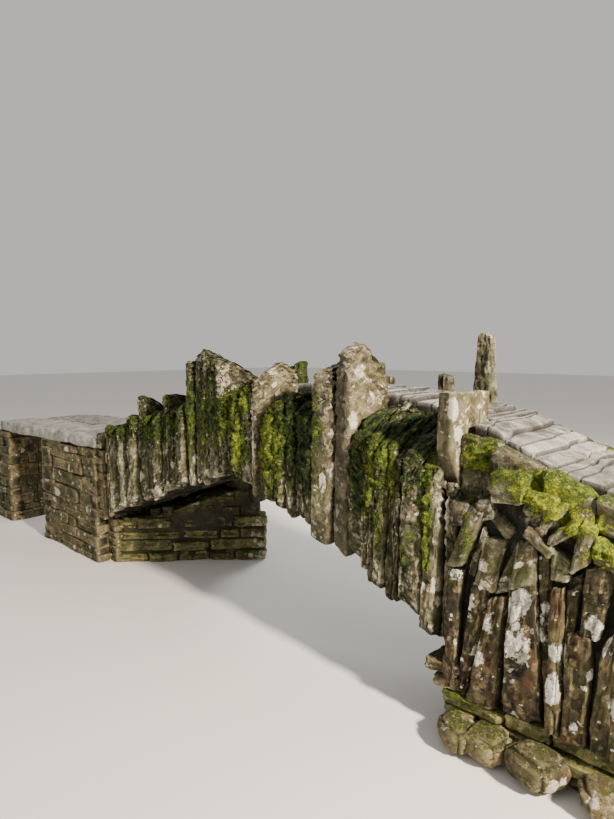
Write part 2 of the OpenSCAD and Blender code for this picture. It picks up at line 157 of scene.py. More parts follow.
def blockGrid(na, nb, nc):
    # skin of a block as a lattice of na by nb by nc cells, welded, with outward quads
    key = (na, nb, nc)
    if key not in gridCache:
        a, b, c = np.meshgrid(np.arange(na + 1), np.arange(nb + 1), np.arange(nc + 1), indexing="ij")
        skin = (a == 0) | (a == na) | (b == 0) | (b == nb) | (c == 0) | (c == nc)
        index = np.full(skin.shape, -1)
        index[skin] = np.arange(skin.sum())
        points = np.stack([a[skin] / na, b[skin] / nb, c[skin] / nc], 1)

        def sheet(g, turned):
            q = np.stack([g[:-1, :-1], g[1:, :-1], g[1:, 1:], g[:-1, 1:]], -1).reshape(-1, 4)
            return q[:, ::-1] if turned else q
        quads = np.concatenate([sheet(index[0], True), sheet(index[-1], False), sheet(index[:, 0], False),
                                sheet(index[:, -1], True), sheet(index[:, :, 0], True), sheet(index[:, :, -1], False)])
        gridCache[key] = (points, quads)
    return gridCache[key]


def stone(place, size, cells, seed, look, grainAxis=0, hide=None):
    # place maps block coordinates (a, b, c) in 0..1 to metres, and hide gives the painted shade there, with some dirt.
    # With half sizes h and rounding r the block is core = clip(p, -(h-r), h-r); p = core + r * (p - core) / |p - core|;
    # then planes n.q < d chip its corners, and steps, flakes and lumps push it along the outward direction
    rng = np.random.default_rng(seed)
    points, quads = blockGrid(*cells)
    u = 0.6 * points + 0.4 * (0.5 - 0.5 * np.cos(np.pi * points))
    half = np.asarray(size) / 2
    p = (u * 2 - 1) * half
    r = min(look["rounding"], 0.45 * half.min())
    core = np.clip(p, -(half - r), half - r)
    out = p - core
    out /= np.maximum(np.linalg.norm(out, axis=1, keepdims=True), 1e-9)
    p = core + out * r
    for _ in range(look["chips"]):
        n = rng.choice([-1.0, 1.0], 3) * rng.uniform(0.2, 1.0, 3)
        n[rng.integers(3)] *= rng.choice([0.0, 1.0])
        n /= np.linalg.norm(n)
        reach = np.abs(n).sum() * (1 - rng.uniform(*breaking["chipDepth"]))
        over = np.maximum(0, (p / half) @ n - reach)
        p = p - over[:, None] * n * np.minimum(half, 3.0 * half.min()) * 0.95
    g = p + rng.uniform(0, 90, 3)
    faceOn = np.abs(out[:, grainAxis])
    warped = g + np.stack([noise(g * 11, 3), noise(g * 9, 4), noise(g * 9, 5)], 1) * breaking["waver"]
    pitch = np.full(3, breaking["across"])
    pitch[grainAxis] = breaking["through"]
    steps = 0.5 * broken(warped, pitch, 6) + 0.9 * broken(warped, pitch * breaking["broad"], 7)
    flakes = np.floor(layered(g * breaking["flakes"], 11, 3) * 4.5) / 4.5
    bumps = layered(g * breaking["lumps"], 21, 3) * look["lump"] + noise(g * breaking["fine"], 41) * look["fine"]
    push = (steps * look["step"] * (1 - faceOn) + flakes * look["flake"] * (0.4 + 0.6 * faceOn)
            + bumps * (1 - 0.35 * faceOn))
    p = p + out * push[:, None]
    local = p / (2 * half) + 0.5
    # ragged ends: each leaf is broken off at its own height
    fromMiddle = local[:, 2] - 0.5
    ends = ramp(np.abs(fromMiddle) * 2, 1 - breaking["tornPart"], breaking["tornPart"]) * np.sign(fromMiddle)
    torn = (0.35 + 0.4 * steps + 0.4 * noise(g * breaking["torn"], 51)) * look["ragged"] / (2 * half[2])
    local[:, 2] -= ends * torn
    shadeAndDirt = hide(local) if hide else np.zeros(len(p))
    return place(local), quads, np.roll(g, -grainAxis, axis=1), np.full(len(p), rng.uniform()), shadeAndDirt


def gather(parts):
    # joins stones into one set of arrays, each stone's quads shifted past the points before it
    counts = np.cumsum([0] + [len(s[0]) for s in parts[:-1]])
    quads = np.concatenate([s[1] + k for s, k in zip(parts, counts)])
    points, grain, tint, shadeAndDirt = (np.concatenate([s[n] for s in parts]) for n in (0, 2, 3, 4))
    return points, quads, grain, tint, shadeAndDirt


def linear(code):
    # sRGB hex to linear: below 0.04045 divide by 12.92, else ((c + 0.055) / 1.055) to the 2.4
    c = [int(code[k:k + 2], 16) / 255 for k in (1, 3, 5)]
    return tuple(v / 12.92 if v <= 0.04045 else ((v + 0.055) / 1.055) ** 2.4 for v in c) + (1.0,)


def addNode(tree, kind, inputs=None, **settings):
    # one node with its settings, its stops if it is a ramp, and its inputs, each a value or a socket
    made = tree.nodes.new(kind)
    stops = settings.pop("stops", None)
    for name, value in settings.items():
        setattr(made, name, value)
    if stops:
        ramp = made.color_ramp
        for k, (at, colour) in enumerate(stops):
            spot = ramp.elements[k] if k < 2 else ramp.elements.new(at)
            spot.position = at
            spot.color = linear(colour)
    for name, value in (inputs or {}).items():
        if isinstance(value, bpy.types.NodeSocket):
            tree.links.new(value, made.inputs[name])
        else:
            made.inputs[name].default_value = value
    return made


# slate, split by hand and weathered for centuries: dull, with painted shade in its joints and hollows, blotched with
# crusts and rust. The tones run from its darkest to its palest; covers go from 0 to 1 and relief is a share of the full
# depth
slate = dict(tones=["#15130e", "#302d21", "#54503d", "#7a755d", "#9e9a82"], pale="#c2bda6", dark="#100e0a",
             rust="#6b3f20", rustCover=0.34, algae="#41451c", algaeCover=0.75, crack=0.85, rough=0.86, relief=1.0,
             lichenMm=(150, 62, 26), lichenCover=(0.16, 0.18, 0.10), lichen="#9f9781", speckle="#cdc6b4",
             moss=["#0e130a", "#2c3b10", "#5a681c", "#a6a92c"], mossLoad=1.0)
stoneKinds = {
    "slateSlab": dict(slate),
    # the few broad slabs that stand free: dry and pale buff, with large soft crusts
    "paleSlate": dict(slate, tones=["#37321f", "#5c553f", "#7b7259", "#958b72", "#ada38b"], pale="#c1b8a2",
                      dark="#1b1811", rustCover=0.32, algae="#57552f", algaeCover=0.5, crack=0.32, relief=0.24,
                      lichenCover=(0.22, 0.30, 0.22), lichen="#aca690", speckle="#d9d5c6"),
    # the shaded slabs of the crown, under hanging moss
    "mossySlate": dict(slate, mossLoad=1.15),
    # the broad dark and red-brown slabs of the right wall, spotted with white crusts; the tones also hold painted shade
    "wingSlate": dict(slate, tones=["#100e0a", "#211c15", "#362d22", "#4f4432", "#6d6147"], pale="#8c7f5e",
                      rust="#5a2d15", rustCover=0.5, algaeCover=0.45, lichenMm=(150, 70, 26),
                      lichenCover=(0.18, 0.20, 0.12), lichen="#adab9c", speckle="#e2e0d6"),
    # paving worn smooth by feet: pale, lightly polished, hardly any lichen
    "wornSlate": dict(slate, tones=["#4d4942", "#6c6860", "#85817a", "#9c9891", "#b3afa8"], pale="#c4c0b9",
                      dark="#1f1c17", rust="#7d674e", rustCover=0.3, algaeCover=0.08, crack=0.6, rough=0.58,
                      relief=0.5, lichenCover=(0.0, 0.08, 0.08), mossLoad=0.7),
    # rubble gathered from the fields: brown, rougher in colour than the slabs
    "fieldRubble": dict(slate, tones=["#231e16", "#40382a", "#5c523e", "#776b50", "#928460"], pale="#ae9e7c",
                        lichenCover=(0.08, 0.16, 0.12)),
    # stones at the water line: damp, brown-green, with a soft shine
    "riverSlate": dict(slate, tones=["#211f10", "#444222", "#656234", "#827b48", "#9a8f5e"], pale="#b0a673",
                       dark="#15120c", rust="#5f4a22", algaeCover=0.5, rough=0.55, lichenCover=(0.0, 0.08, 0.08),
                       moss=["#151b09", "#3a4614", "#5f6b22", "#858c30"]),
}
# millimetres across one cloud of each pattern: the waver of the leaves, the leaves through, across and along,
# blotches of tone, bleached patches, rust, the film of algae, grit, the ragged rims of crusts and the pits in them,
# and tufts and clumps of moss
patternMm = dict(waver=125, leaves=(20, 52.632, 76.923), blotch=166.667, broad=66.667, rust=111.111, film=270.27,
                 grit=5.88235, rim=41.6667, crustPits=14.2857, tuft=11.1111, clump=41.6667)
# metres that each of these stands out
reliefOf = dict(leaves=0.009, grit=0.0016, broad=0.012, crust=0.0015, tuft=0.022, clump=0.03)


def makeStone(name, kind):
    # one stone material of layers: tone, bleach and rust, algae, dark cracks, grit, crusts, painted highlight, painted
    # shade with dirt, then moss
    made = bpy.data.materials.new(name)
    made.use_nodes = True
    t = made.node_tree
    t.nodes.clear()

    def perMetre(label):
        return 1000 / patternMm[label]

    def read(label):
        # a weight that makePiece paints on each point
        return addNode(t, "ShaderNodeAttribute", attribute_name=label).outputs["Fac"]

    def span(value, low, high, a=0.0, b=1.0):
        # from a to b while value goes from low to high
        return addNode(t, "ShaderNodeMapRange", {"Value": value, "From Min": low, "From Max": high,
                                                 "To Min": a, "To Max": b}).outputs[0]

    def maths(operation, *values):
        return addNode(t, "ShaderNodeMath", dict(enumerate(values)), operation=operation).outputs[0]

    def mix(factor, a, b, way="MIX"):
        b = linear(b) if isinstance(b, str) else b
        return addNode(t, "ShaderNodeMix", {"Factor": factor, "A": a, "B": b}, data_type="RGBA",
                       blend_type=way).outputs[2]

    def clouds(where, size, detail, roughness, output=0):
        return addNode(t, "ShaderNodeTexNoise", {"Vector": where, "Scale": size, "Detail": detail,
                                                 "Roughness": roughness}).outputs[output]

    def shifted(where, **settings):
        return addNode(t, "ShaderNodeMapping", {"Vector": where, **settings}).outputs[0]

    def bend(where, colour, amount):
        # where + amount * noise colour
        return addNode(t, "ShaderNodeVectorMath", {0: colour, 1: (amount, amount, amount), 2: where},
                       operation="MULTIPLY_ADD").outputs[0]

    grain = addNode(t, "ShaderNodeAttribute", attribute_name="grain").outputs["Vector"]
    place = addNode(t, "ShaderNodeTexCoord").outputs["Object"]
    bent = bend(grain, clouds(place, perMetre("waver"), 3.0, 0.6, 1), 0.16)
    leaves = clouds(shifted(bent, Scale=tuple(1000 / mm for mm in patternMm["leaves"])), 1.0, 5.0, 0.68)
    blotch = clouds(place, perMetre("blotch"), 6.0, 0.66)
    broad = clouds(bent, perMetre("broad"), 6.0, 0.68)
    grit = clouds(grain, perMetre("grit"), 3.0, 0.75)
    # tone: the stone's own, shifted by blotches
    tone = maths("MULTIPLY_ADD", blotch, 2.5, -1.02)
    tone = maths("MULTIPLY_ADD", read("tint"), 0.52, tone)
    stops = [(k / 4, c) for k, c in enumerate(kind["tones"])]
    body = addNode(t, "ShaderNodeValToRGB", {"Fac": tone}, stops=stops).outputs[0]
    stain = clouds(shifted(bent, Scale=(1.0, 1.0, 0.45)), perMetre("rust"), 4.0, 0.6)
    body = mix(maths("MULTIPLY", span(stain, 0.52, 0.68), kind["rustCover"]), body, kind["rust"])
    body = mix(maths("MULTIPLY", span(broad, 0.52, 0.68), 0.75), body, kind["pale"])
    film = clouds(place, perMetre("film"), 6.0, 0.7)
    body = mix(maths("MULTIPLY", span(film, 0.40, 0.60), kind["algaeCover"]), body, kind["algae"])
    body = mix(maths("MULTIPLY", span(leaves, 0.49, 0.33), kind["crack"]), body, kind["dark"])
    body = mix(1.0, body, span(grit, 0.34, 0.68, 0.52, 1.40), "MULTIPLY")
    # crust lichen: round patches of three sizes with ragged rims, and the painted ones
    wavy = bend(grain, clouds(grain, perMetre("rim"), 5.0, 0.75, 1), 0.075)
    crust = None
    for k, (size, cover) in enumerate(zip(kind["lichenMm"], kind["lichenCover"])):
        cell = addNode(t, "ShaderNodeTexVoronoi", {"Vector": shifted(wavy, Location=(7.0 * k, 3.0 * k, 0)),
                                                   "Scale": 1000 / size / 1.25})
        some = addNode(t, "ShaderNodeSeparateColor", {"Color": cell.outputs["Color"]}).outputs[0]
        reach = span(some, 1 - cover, 1.0, -0.05, 0.52)
        edge = maths("SUBTRACT", reach, cell.outputs["Distance"])
        mask = span(edge, 0.0, 0.05)
        crust = mask if crust is None else maths("MAXIMUM", crust, mask)
    painted = maths("MULTIPLY_ADD", broad, 1.5, maths("SUBTRACT", read("lichen"), 1.25))
    crust = maths("MAXIMUM", crust, maths("MULTIPLY", span(painted, 0.0, 0.10), span(stain, 0.38, 0.46)))
    worn = span(clouds(grain, perMetre("crustPits"), 5.0, 0.75), 0.34, 0.48)
    crust = maths("MULTIPLY", maths("MULTIPLY", crust, worn), 0.9)
    pale = mix(span(grit, 0.35, 0.65), linear(kind["lichen"]), kind["speckle"])
    body = mix(crust, body, pale)
    # painted shade darkens the hollows; the edges are made pale by painted highlight and by rubbing
    turn = addNode(t, "ShaderNodeNewGeometry").outputs["Pointiness"]
    body = mix(maths("MULTIPLY", span(turn, 0.50, 0.41), 0.85), body, kind["dark"])
    body = mix(maths("MULTIPLY", span(turn, 0.52, 0.62), 0.35), body, kind["pale"])
    # painted shade: near black in the joints, in hollows behind stones and under the arch, with dirt and the wet foot
    body = mix(maths("MULTIPLY", read("shadeAndGrime"), 0.9), body, "#0d0b09")
    # moss: the painted weight, broken up by tufts, from nearly black to yellow
    tuft = clouds(place, perMetre("tuft"), 5.0, 0.78)
    clump = clouds(place, perMetre("clump"), 4.0, 0.65)
    weight = maths("MULTIPLY_ADD", clump, 1.5, maths("MULTIPLY_ADD", tuft, 1.0, -1.25))
    weight = maths("ADD", weight, read("moss"))
    green = span(weight, 0.46, 0.60)
    shade = maths("MULTIPLY_ADD", tuft, 1.9, maths("MULTIPLY_ADD", clump, 1.5, -1.38))
    shade = maths("MULTIPLY_ADD", read("glow"), 0.50, shade)
    # painted shade darkens the moss in its hollows
    shade = maths("SUBTRACT", shade, maths("MULTIPLY", span(turn, 0.50, 0.43), 0.5))
    stops = list(zip((0.0, 0.3, 0.62, 0.95), kind["moss"]))
    mossy = addNode(t, "ShaderNodeValToRGB", {"Fac": shade}, stops=stops).outputs[0]
    body = mix(green, body, mossy)
    rough = span(green, 0.0, 1.0, kind["rough"], 0.98)
    # relief in metres, strongest across the leaves; moss stands up in tufts
    rise = maths("MULTIPLY", leaves, reliefOf["leaves"] * kind["relief"])
    rise = maths("MULTIPLY_ADD", grit, reliefOf["grit"], rise)
    rise = maths("MULTIPLY_ADD", broad, reliefOf["broad"] * kind["relief"], rise)
    rise = maths("MULTIPLY_ADD", crust, reliefOf["crust"], rise)
    lift = maths("MULTIPLY_ADD", tuft, reliefOf["tuft"], maths("MULTIPLY", clump, reliefOf["clump"]))
    rise = maths("MULTIPLY_ADD", maths("MULTIPLY", green, green), lift, rise)
    bump = addNode(t, "ShaderNodeBump", {"Strength": 1.0, "Distance": 1.0, "Height": rise}).outputs[0]
    shader = addNode(t, "ShaderNodeBsdfPrincipled", {"Base Color": body, "Roughness": rough, "Normal": bump, "IOR": 1.5,
                                                     "Specular IOR Level": 0.3})
    addNode(t, "ShaderNodeOutputMaterial", {"Surface": shader.outputs[0]})
    return made


materials = {name: makeStone(name, kind) for name, kind in stoneKinds.items()}
print("materials made", len(materials))

# where moss grows on the near face: middle (x, z), reach (x, z), weight, and how yellow it is
mossSpots = [
    (-1.2, 1.85, 0.95, 0.36, 0.40, 0.1), (0.15, 1.95, 0.60, 0.50, 0.34, 0.2), (1.65, 1.75, 0.50, 0.45, 0.30, -0.2),
    (-2.0, 1.66, 0.22, 0.08, 0.45, 0.1), (-1.75, 1.70, 0.12, 0.14, 0.50, 0.1), (-1.33, 1.78, 0.13, 0.22, 0.75, 0.2),
    (-1.05, 1.82, 0.13, 0.22, 0.65, -0.1), (-0.83, 1.85, 0.10, 0.20, 0.45, -0.1),
    (-0.56, 1.85, 0.05, 0.35, 0.80, 0.35), (-0.40, 1.80, 0.05, 0.35, 0.80, 0.35),
    (-0.28, 2.20, 0.08, 0.25, 0.45, -0.1), (-0.15, 1.70, 0.06, 0.25, 0.50, 0.0),
    (-0.46, 2.22, 0.16, 0.26, 0.50, -0.25), (-0.24, 1.95, 0.08, 0.30, 0.40, -0.1),
    (0.00, 1.95, 0.08, 0.28, 0.80, 0.5), (0.15, 1.75, 0.05, 0.28, 0.90, 0.8), (0.24, 2.15, 0.06, 0.12, 0.70, 0.5),
    (0.05, 2.20, 0.10, 0.10, 0.50, 0.2), (0.52, 1.85, 0.12, 0.35, 0.95, 0.75), (0.66, 1.75, 0.10, 0.38, 0.90, 0.45),
    (0.47, 2.05, 0.05, 0.12, 0.80, 0.7), (0.86, 1.85, 0.10, 0.36, 0.95, -0.35), (1.02, 1.80, 0.10, 0.36, 0.95, -0.35),
    (1.15, 1.95, 0.05, 0.20, 0.60, 0.3), (1.12, 2.20, 0.04, 0.10, 0.40, 0.5), (1.48, 1.88, 0.08, 0.12, 0.60, -0.1),
    (1.64, 1.62, 0.045, 0.28, 1.0, 0.8), (1.72, 1.85, 0.05, 0.10, 0.60, 0.2), (1.82, 1.68, 0.05, 0.22, 1.0, 0.8),
    (1.98, 1.72, 0.10, 0.26, 0.90, -0.3), (1.50, 1.55, 0.07, 0.40, 0.65, -0.2), (1.72, 1.35, 0.06, 0.35, 0.40, 0.2),
    (1.95, 1.15, 0.10, 0.25, 0.35, 0.0), (2.12, 1.40, 0.045, 0.40, 1.0, 0.6), (1.80, 2.0, 0.35, 0.08, 0.40, -0.2),
    (2.40, 1.90, 0.14, 0.08, 0.90, 0.6), (2.42, 1.35, 0.07, 0.25, 0.45, 0.4), (2.90, 1.72, 0.16, 0.07, 1.0, 0.9),
    (3.08, 1.60, 0.18, 0.06, 1.0, 0.9), (3.25, 1.46, 0.14, 0.07, 1.0, 0.9), (2.95, 1.80, 0.40, 0.06, 0.7, 0.4),
    (3.7, 1.38, 0.35, 0.12, 0.9, 0.6), (4.6, 1.22, 0.7, 0.14, 0.8, 0.5), (2.38, 0.29, 0.25, 0.08, 0.6, 0.2),
    (-2.7, 1.15, 0.4, 0.3, 0.3, 0.1)
]
# crust lichens large enough to place: (x, z, reach across, reach up) on the near face
lichenSpots = [
    (2.35, 1.13, .04, .045), (2.53, 1.22, .045, .045), (2.74, 0.98, .06, .075), (2.78, 0.78, .085, .105),
    (3.02, 0.82, .055, .065), (3.0, 0.6, .04, .11), (2.92, 0.95, .035, .13), (2.57, 0.86, .045, .075),
    (2.52, 0.62, .05, .07), (2.1, 0.97, .035, .045), (3.55, 0.75, .06, .08), (3.9, 0.95, .05, .06),
    (4.3, 0.6, .06, .07), (4.7, 0.8, .05, .07), (2.45, 0.95, .03, .06), (3.35, 0.62, .04, .07), (2.2, 1.0, .03, .06),
    (3.2, 1.05, .045, .055), (1.88, 1.5, .03, .05), (1.30, 1.35, .02, .06), (1.62, 1.2, .03, .06),
    (2.24, 1.52, .03, .14), (1.15, 1.95, .03, .08), (1.19, 1.55, .03, .10), (0.36, 1.75, .03, .16),
    (0.34, 2.05, .03, .10), (-0.125, 2.22, .03, .24), (-1.56, 1.76, .03, .08)
]

# and on the broad faces of standing slabs: (x, y, z, reach)
faceLichens = [
    (2.27, -0.58, 1.88, 0.06), (2.27, -0.34, 2.19, 0.03), (1.39, -0.55, 2.42, 0.07), (1.39, -0.40, 2.20, 0.06),
    (1.39, -0.62, 2.05, 0.07), (-0.11, -0.60, 2.40, 0.04), (0.40, -0.50, 2.38, 0.05)
]


def spotWeight(p, spots):
    # sum of weight * exp(-(dx/reach)^2 - (dz/reach)^2)
    total, glow = np.zeros(len(p)), np.zeros(len(p))
    for x, z, rx, rz, w, yellow in spots:
        near = w * np.exp(-((p[:, 0] - x) / rx) ** 2 - ((p[:, 2] - z) / rz) ** 2)
        total += near
        glow += near * yellow
    return total, glow


# how moss takes hold and how dirt and crusts lie on every piece: depth of the moss cushions in metres, damp that every
# stone has, where moss starts and ends to swell, and heights over the soffit of the crusted tails and of the wet foot
growth = dict(cushion=0.030, damp=0.12, swellFrom=0.50, swellOver=0.40, tailCrust=0.52, tailHeight=0.22, wet=0.5,
              wetHeight=0.16, faceFrom=0.58, tailFaceFrom=0.6, wetFaceFrom=0.4, sharpAngle=34)


def makePiece(name, parts, kind, slotName, replaced, mossy=1.0, damp=growth["damp"]):
    points, quads, grain, tint, shadeAndDirt = gather(parts)
    mesh = bpy.data.meshes.new(name)
    mesh.from_pydata(points.tolist(), [], quads.tolist())
    normals = np.empty(len(points) * 3)
    mesh.vertices.foreach_get("normal", normals)
    normals = normals.reshape(-1, 3)
    up = np.clip(normals[:, 2], 0, 1)
    x, side, z = points[:, 0], np.abs(points[:, 1]), points[:, 2]
    overSoffit = z - soffit(x)
    total, glow = spotWeight(points, mossSpots)
    # it hangs in strands and clumps, and differs from stone to stone
    slow = noise(points * (27, 9, 6), 71) * 0.45 + noise(points * 19, 72) * 0.35
    slow = slow + noise(points * 4, 73) * 0.3 + (tint - 0.5) * 0.3
    moss = damp + total * (0.72 + 0.45 * up) + damp * 2.0 * up + slow * (0.16 + 0.55 * total)
    moss = np.clip(moss * mossy * stoneKinds[kind]["mossLoad"], 0, 1.2)
    crust = np.zeros(len(points))
    for cx, cz, rx, rz in lichenSpots:
        patch = 1.15 - 0.65 * np.hypot((x - cx) / rx, (z - cz) / rz)
        crust = np.maximum(crust, patch * (side > growth["faceFrom"]))
    for cx, cy, cz, reach in faceLichens:
        crust = np.maximum(crust, 1.15 - 0.65 * np.linalg.norm(points - (cx, cy, cz), axis=1) / reach)
    # the tails of the left haunch are grey with crusts, and the foot of the right one is wet
    tails = np.clip(1.3 - overSoffit / growth["tailHeight"], 0, 1) * (x > -2.24) * (x < -0.3)
    crust = np.maximum(crust, growth["tailCrust"] * tails * (side > growth["tailFaceFrom"]))
    wet = growth["wet"] * np.clip(1 - overSoffit / growth["wetHeight"], 0, 1) * (x > 0) * (x < 2.2) * (z > 0.6)
    # painted shade and dirt up to 1 keeps off what faces up, and what passes 1 lies there too
    shadeAndGrime = np.maximum(np.clip(shadeAndDirt, 0, 1) * (1 - np.clip(up * 1.6, 0, 1)), np.clip(shadeAndDirt - 1, 0, 1))
    shadeAndGrime = np.maximum(shadeAndGrime, wet * (side > growth["wetFaceFrom"]))
    # moss cushions swell outwards where the weight is high
    swell = ramp(moss, growth["swellFrom"], growth["swellOver"])
    swell = swell * np.clip(0.45 + 0.6 * noise(points * 17, 81) + 0.35 * noise(points * 43, 82), 0, 1.2)
    points = points + normals * (swell * growth["cushion"] * (1 - shadeAndGrime))[:, None]
    points[:, 2] = np.maximum(points[:, 2], 0)
    mesh.vertices.foreach_set("co", points.ravel())
    mesh.attributes.new("grain", "FLOAT_VECTOR", "POINT").data.foreach_set("vector", grain.astype(np.float32).ravel())
    painted = dict(tint=tint, moss=moss, glow=glow / (total + 0.2), lichen=crust, shadeAndGrime=shadeAndGrime)
    for label, values in painted.items():
        mesh.attributes.new(label, "FLOAT", "POINT").data.foreach_set("value", values.astype(np.float32))
    mesh.polygons.foreach_set("use_smooth", [True] * len(mesh.polygons))
    mesh.set_sharp_from_angle(angle=math.radians(growth["sharpAngle"]))
    mesh.update()
    mesh.materials.append(materials[kind])
    piece = bpy.data.objects.new(name, mesh)
    bpy.context.scene.collection.objects.link(piece)
    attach(piece, "root")
    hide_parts(*replaced)
    print(name, len(parts), "stones", len(quads) * 2, "triangles")


# one slab on edge: x0 to x1 at the datum, y0 to y1 across, its foot b0 and b1 at both sides, and its heights at the
# edge, the peak and the back, the peak lying at peakAt from edge to back
# darkFrom and darkOver: where painted shade starts in a joint and over how much it turns black; overSlab: how far under
# the top beside it fades; edgeWidth: the width of painted shade on a near edge
slabFit = dict(peakAt=0.4, gap=0.004, darkFrom=0.035, darkOver=0.07, overSlab=0.04, edgeWidth=0.022)


def slabPart(x0, x1, y0, y1, b0, b1, tops, peakAt, cells, seed, look=slabLook, gap=slabFit["gap"], taper=0.0, skew=0.0,
             beside=None, edge=0.0):
    def topAt(heights, b, at=slabFit["peakAt"]):
        return np.interp(b, [0, at, 1], heights)

    def place(q):
        # x leans with the joints, y runs across, z rises from the tail line to the top line
        a, b, c = q.T
        low = b0 + (b1 - b0) * a
        z = low + c * (topAt(tops, b, peakAt) - low)
        slim = 1 - taper * np.clip(c, 0, 1) ** 4
        along = x0 + gap + (x1 - x0 - 2 * gap) * (0.5 + (a - 0.5) * slim)
        return np.stack([joint(along, z), y0 + b * (y1 - y0) + skew * (a - 0.5) * (1 - b), z], 1)

    def hide(q):
        # painted shade: joints go black more than a few cm in, up to the top of the slab beside; so does the foot,
        # further in, and a rim along the near edge where edge is given
        a, b, c = q.T
        z = b0 + c * (topAt(tops, b, peakAt) - b0)
        over = 9 - z if beside is None else np.where(a < 0.5, topAt(beside[0], b), topAt(beside[1], b)) - z
        deep = b * (y1 - y0)
        joints = ramp(deep, slabFit["darkFrom"], slabFit["darkOver"]) * ramp(over, 0, slabFit["overSlab"])
        foot = np.clip(1 - c * 40, 0, 1) * np.clip(b * 5 - 0.4, 0, 1)
        rim = edge * np.clip(1.6 - deep / slabFit["edgeWidth"], 0, 1)
        return np.maximum(joints, np.maximum(foot, rim))
    return stone(place, (x1 - x0, y1 - y0, max(tops) - 0.5 * (b0 + b1)), cells, seed, look, hide=hide)


# the near face of the arch, slab by slab: joints at the datum, then heights at the edge, the peak and the back, and
# where the peak lies if not at the usual place
nearTables = {
    "left_haunch_near_slabs": [
        (-2.25, -2.16, 1.60, 1.64, 1.60), (-2.16, -2.05, 1.70, 1.70, 1.64), (-2.05, -1.95, 1.72, 1.70, 1.65),
        (-1.95, -1.85, 1.70, 1.72, 1.69), (-1.85, -1.75, 1.715, 1.76, 1.74), (-1.75, -1.64, 1.85, 1.84, 1.80),
        (-1.64, -1.53, 1.85, 1.87, 1.84), (-1.42, -1.34, 1.88, 1.90, 1.89), (-1.34, -1.20, 1.80, 1.91, 1.91),
        (-1.20, -1.13, 1.85, 1.93, 1.94), (-1.13, -1.05, 1.89, 1.98, 1.98), (-0.95, -0.85, 1.93, 2.02, 2.02),
        (-0.85, -0.75, 1.96, 2.06, 2.05), (-0.75, -0.62, 2.02, 2.09, 2.09)],
    "west_pointed_slab": [(-1.53, -1.42, 2.11, 2.04, 1.85, 0.3)],
    "second_pointed_slab": [(-1.05, -0.95, 2.11, 2.15, 2.03, 0.25)],
    "tall_block_slabs": [
        (-0.62, -0.53, 2.47, 2.48, 2.25, 0.35), (-0.53, -0.39, 2.57, 2.575, 2.32, 0.3),
        (-0.39, -0.30, 2.60, 2.55, 2.30, 0.28), (-0.30, -0.15, 2.52, 2.50, 2.28, 0.25)],
    "thin_edge_slab": [(-0.15, -0.10, 2.50, 2.47, 2.30, 0.3)],
    "crown_near_slabs": [
        (-0.10, 0.0, 2.15, 2.23, 2.23), (0.0, 0.097, 2.19, 2.24, 2.24), (0.097, 0.187, 2.20, 2.25, 2.25),
        (0.187, 0.313, 2.27, 2.29, 2.26)],
    "pale_crown_slab": [(0.313, 0.404, 2.30, 2.48, 2.40, 0.6)],
    "crown_right_slabs": [
        (0.404, 0.518, 2.01, 2.12, 2.19), (0.518, 0.638, 2.08, 2.15, 2.20), (0.638, 0.745, 2.15, 2.21, 2.23),
        (0.745, 0.848, 2.22, 2.23, 2.23), (0.848, 0.956, 2.11, 2.18, 2.21), (0.956, 1.065, 2.09, 2.17, 2.20)],
    "grey_crown_slab": [(1.065, 1.235, 2.43, 2.48, 2.33, 0.35)],
    "great_slab": [(1.235, 1.395, 2.56, 2.64, 2.37, 0.38)],
    "right_haunch_near_slabs": [
        (1.395, 1.555, 1.93, 2.09, 2.16), (1.555, 1.61, 1.88, 2.06, 2.16), (1.61, 1.672, 1.96, 2.07, 2.15),
        (1.672, 1.765, 1.87, 2.03, 2.14), (1.765, 1.83, 1.91, 2.00, 2.12), (1.83, 1.90, 1.84, 1.96, 2.11),
        (1.90, 2.085, 1.87, 1.97, 2.08), (2.085, 2.215, 1.77, 1.64, 1.64, 0.25), (2.215, 2.31, 1.72, 1.64, 1.64, 0.25)],
}
nearLooks = {"thin_edge_slab": ("slateSlab", "pale_slab"), "pale_crown_slab": ("paleSlate", "pale_slab"),
             "great_slab": ("paleSlate", "slate_slab"), "crown_near_slabs": ("mossySlate", "mossy_slab"),
             "crown_right_slabs": ("mossySlate", "mossy_slab")}
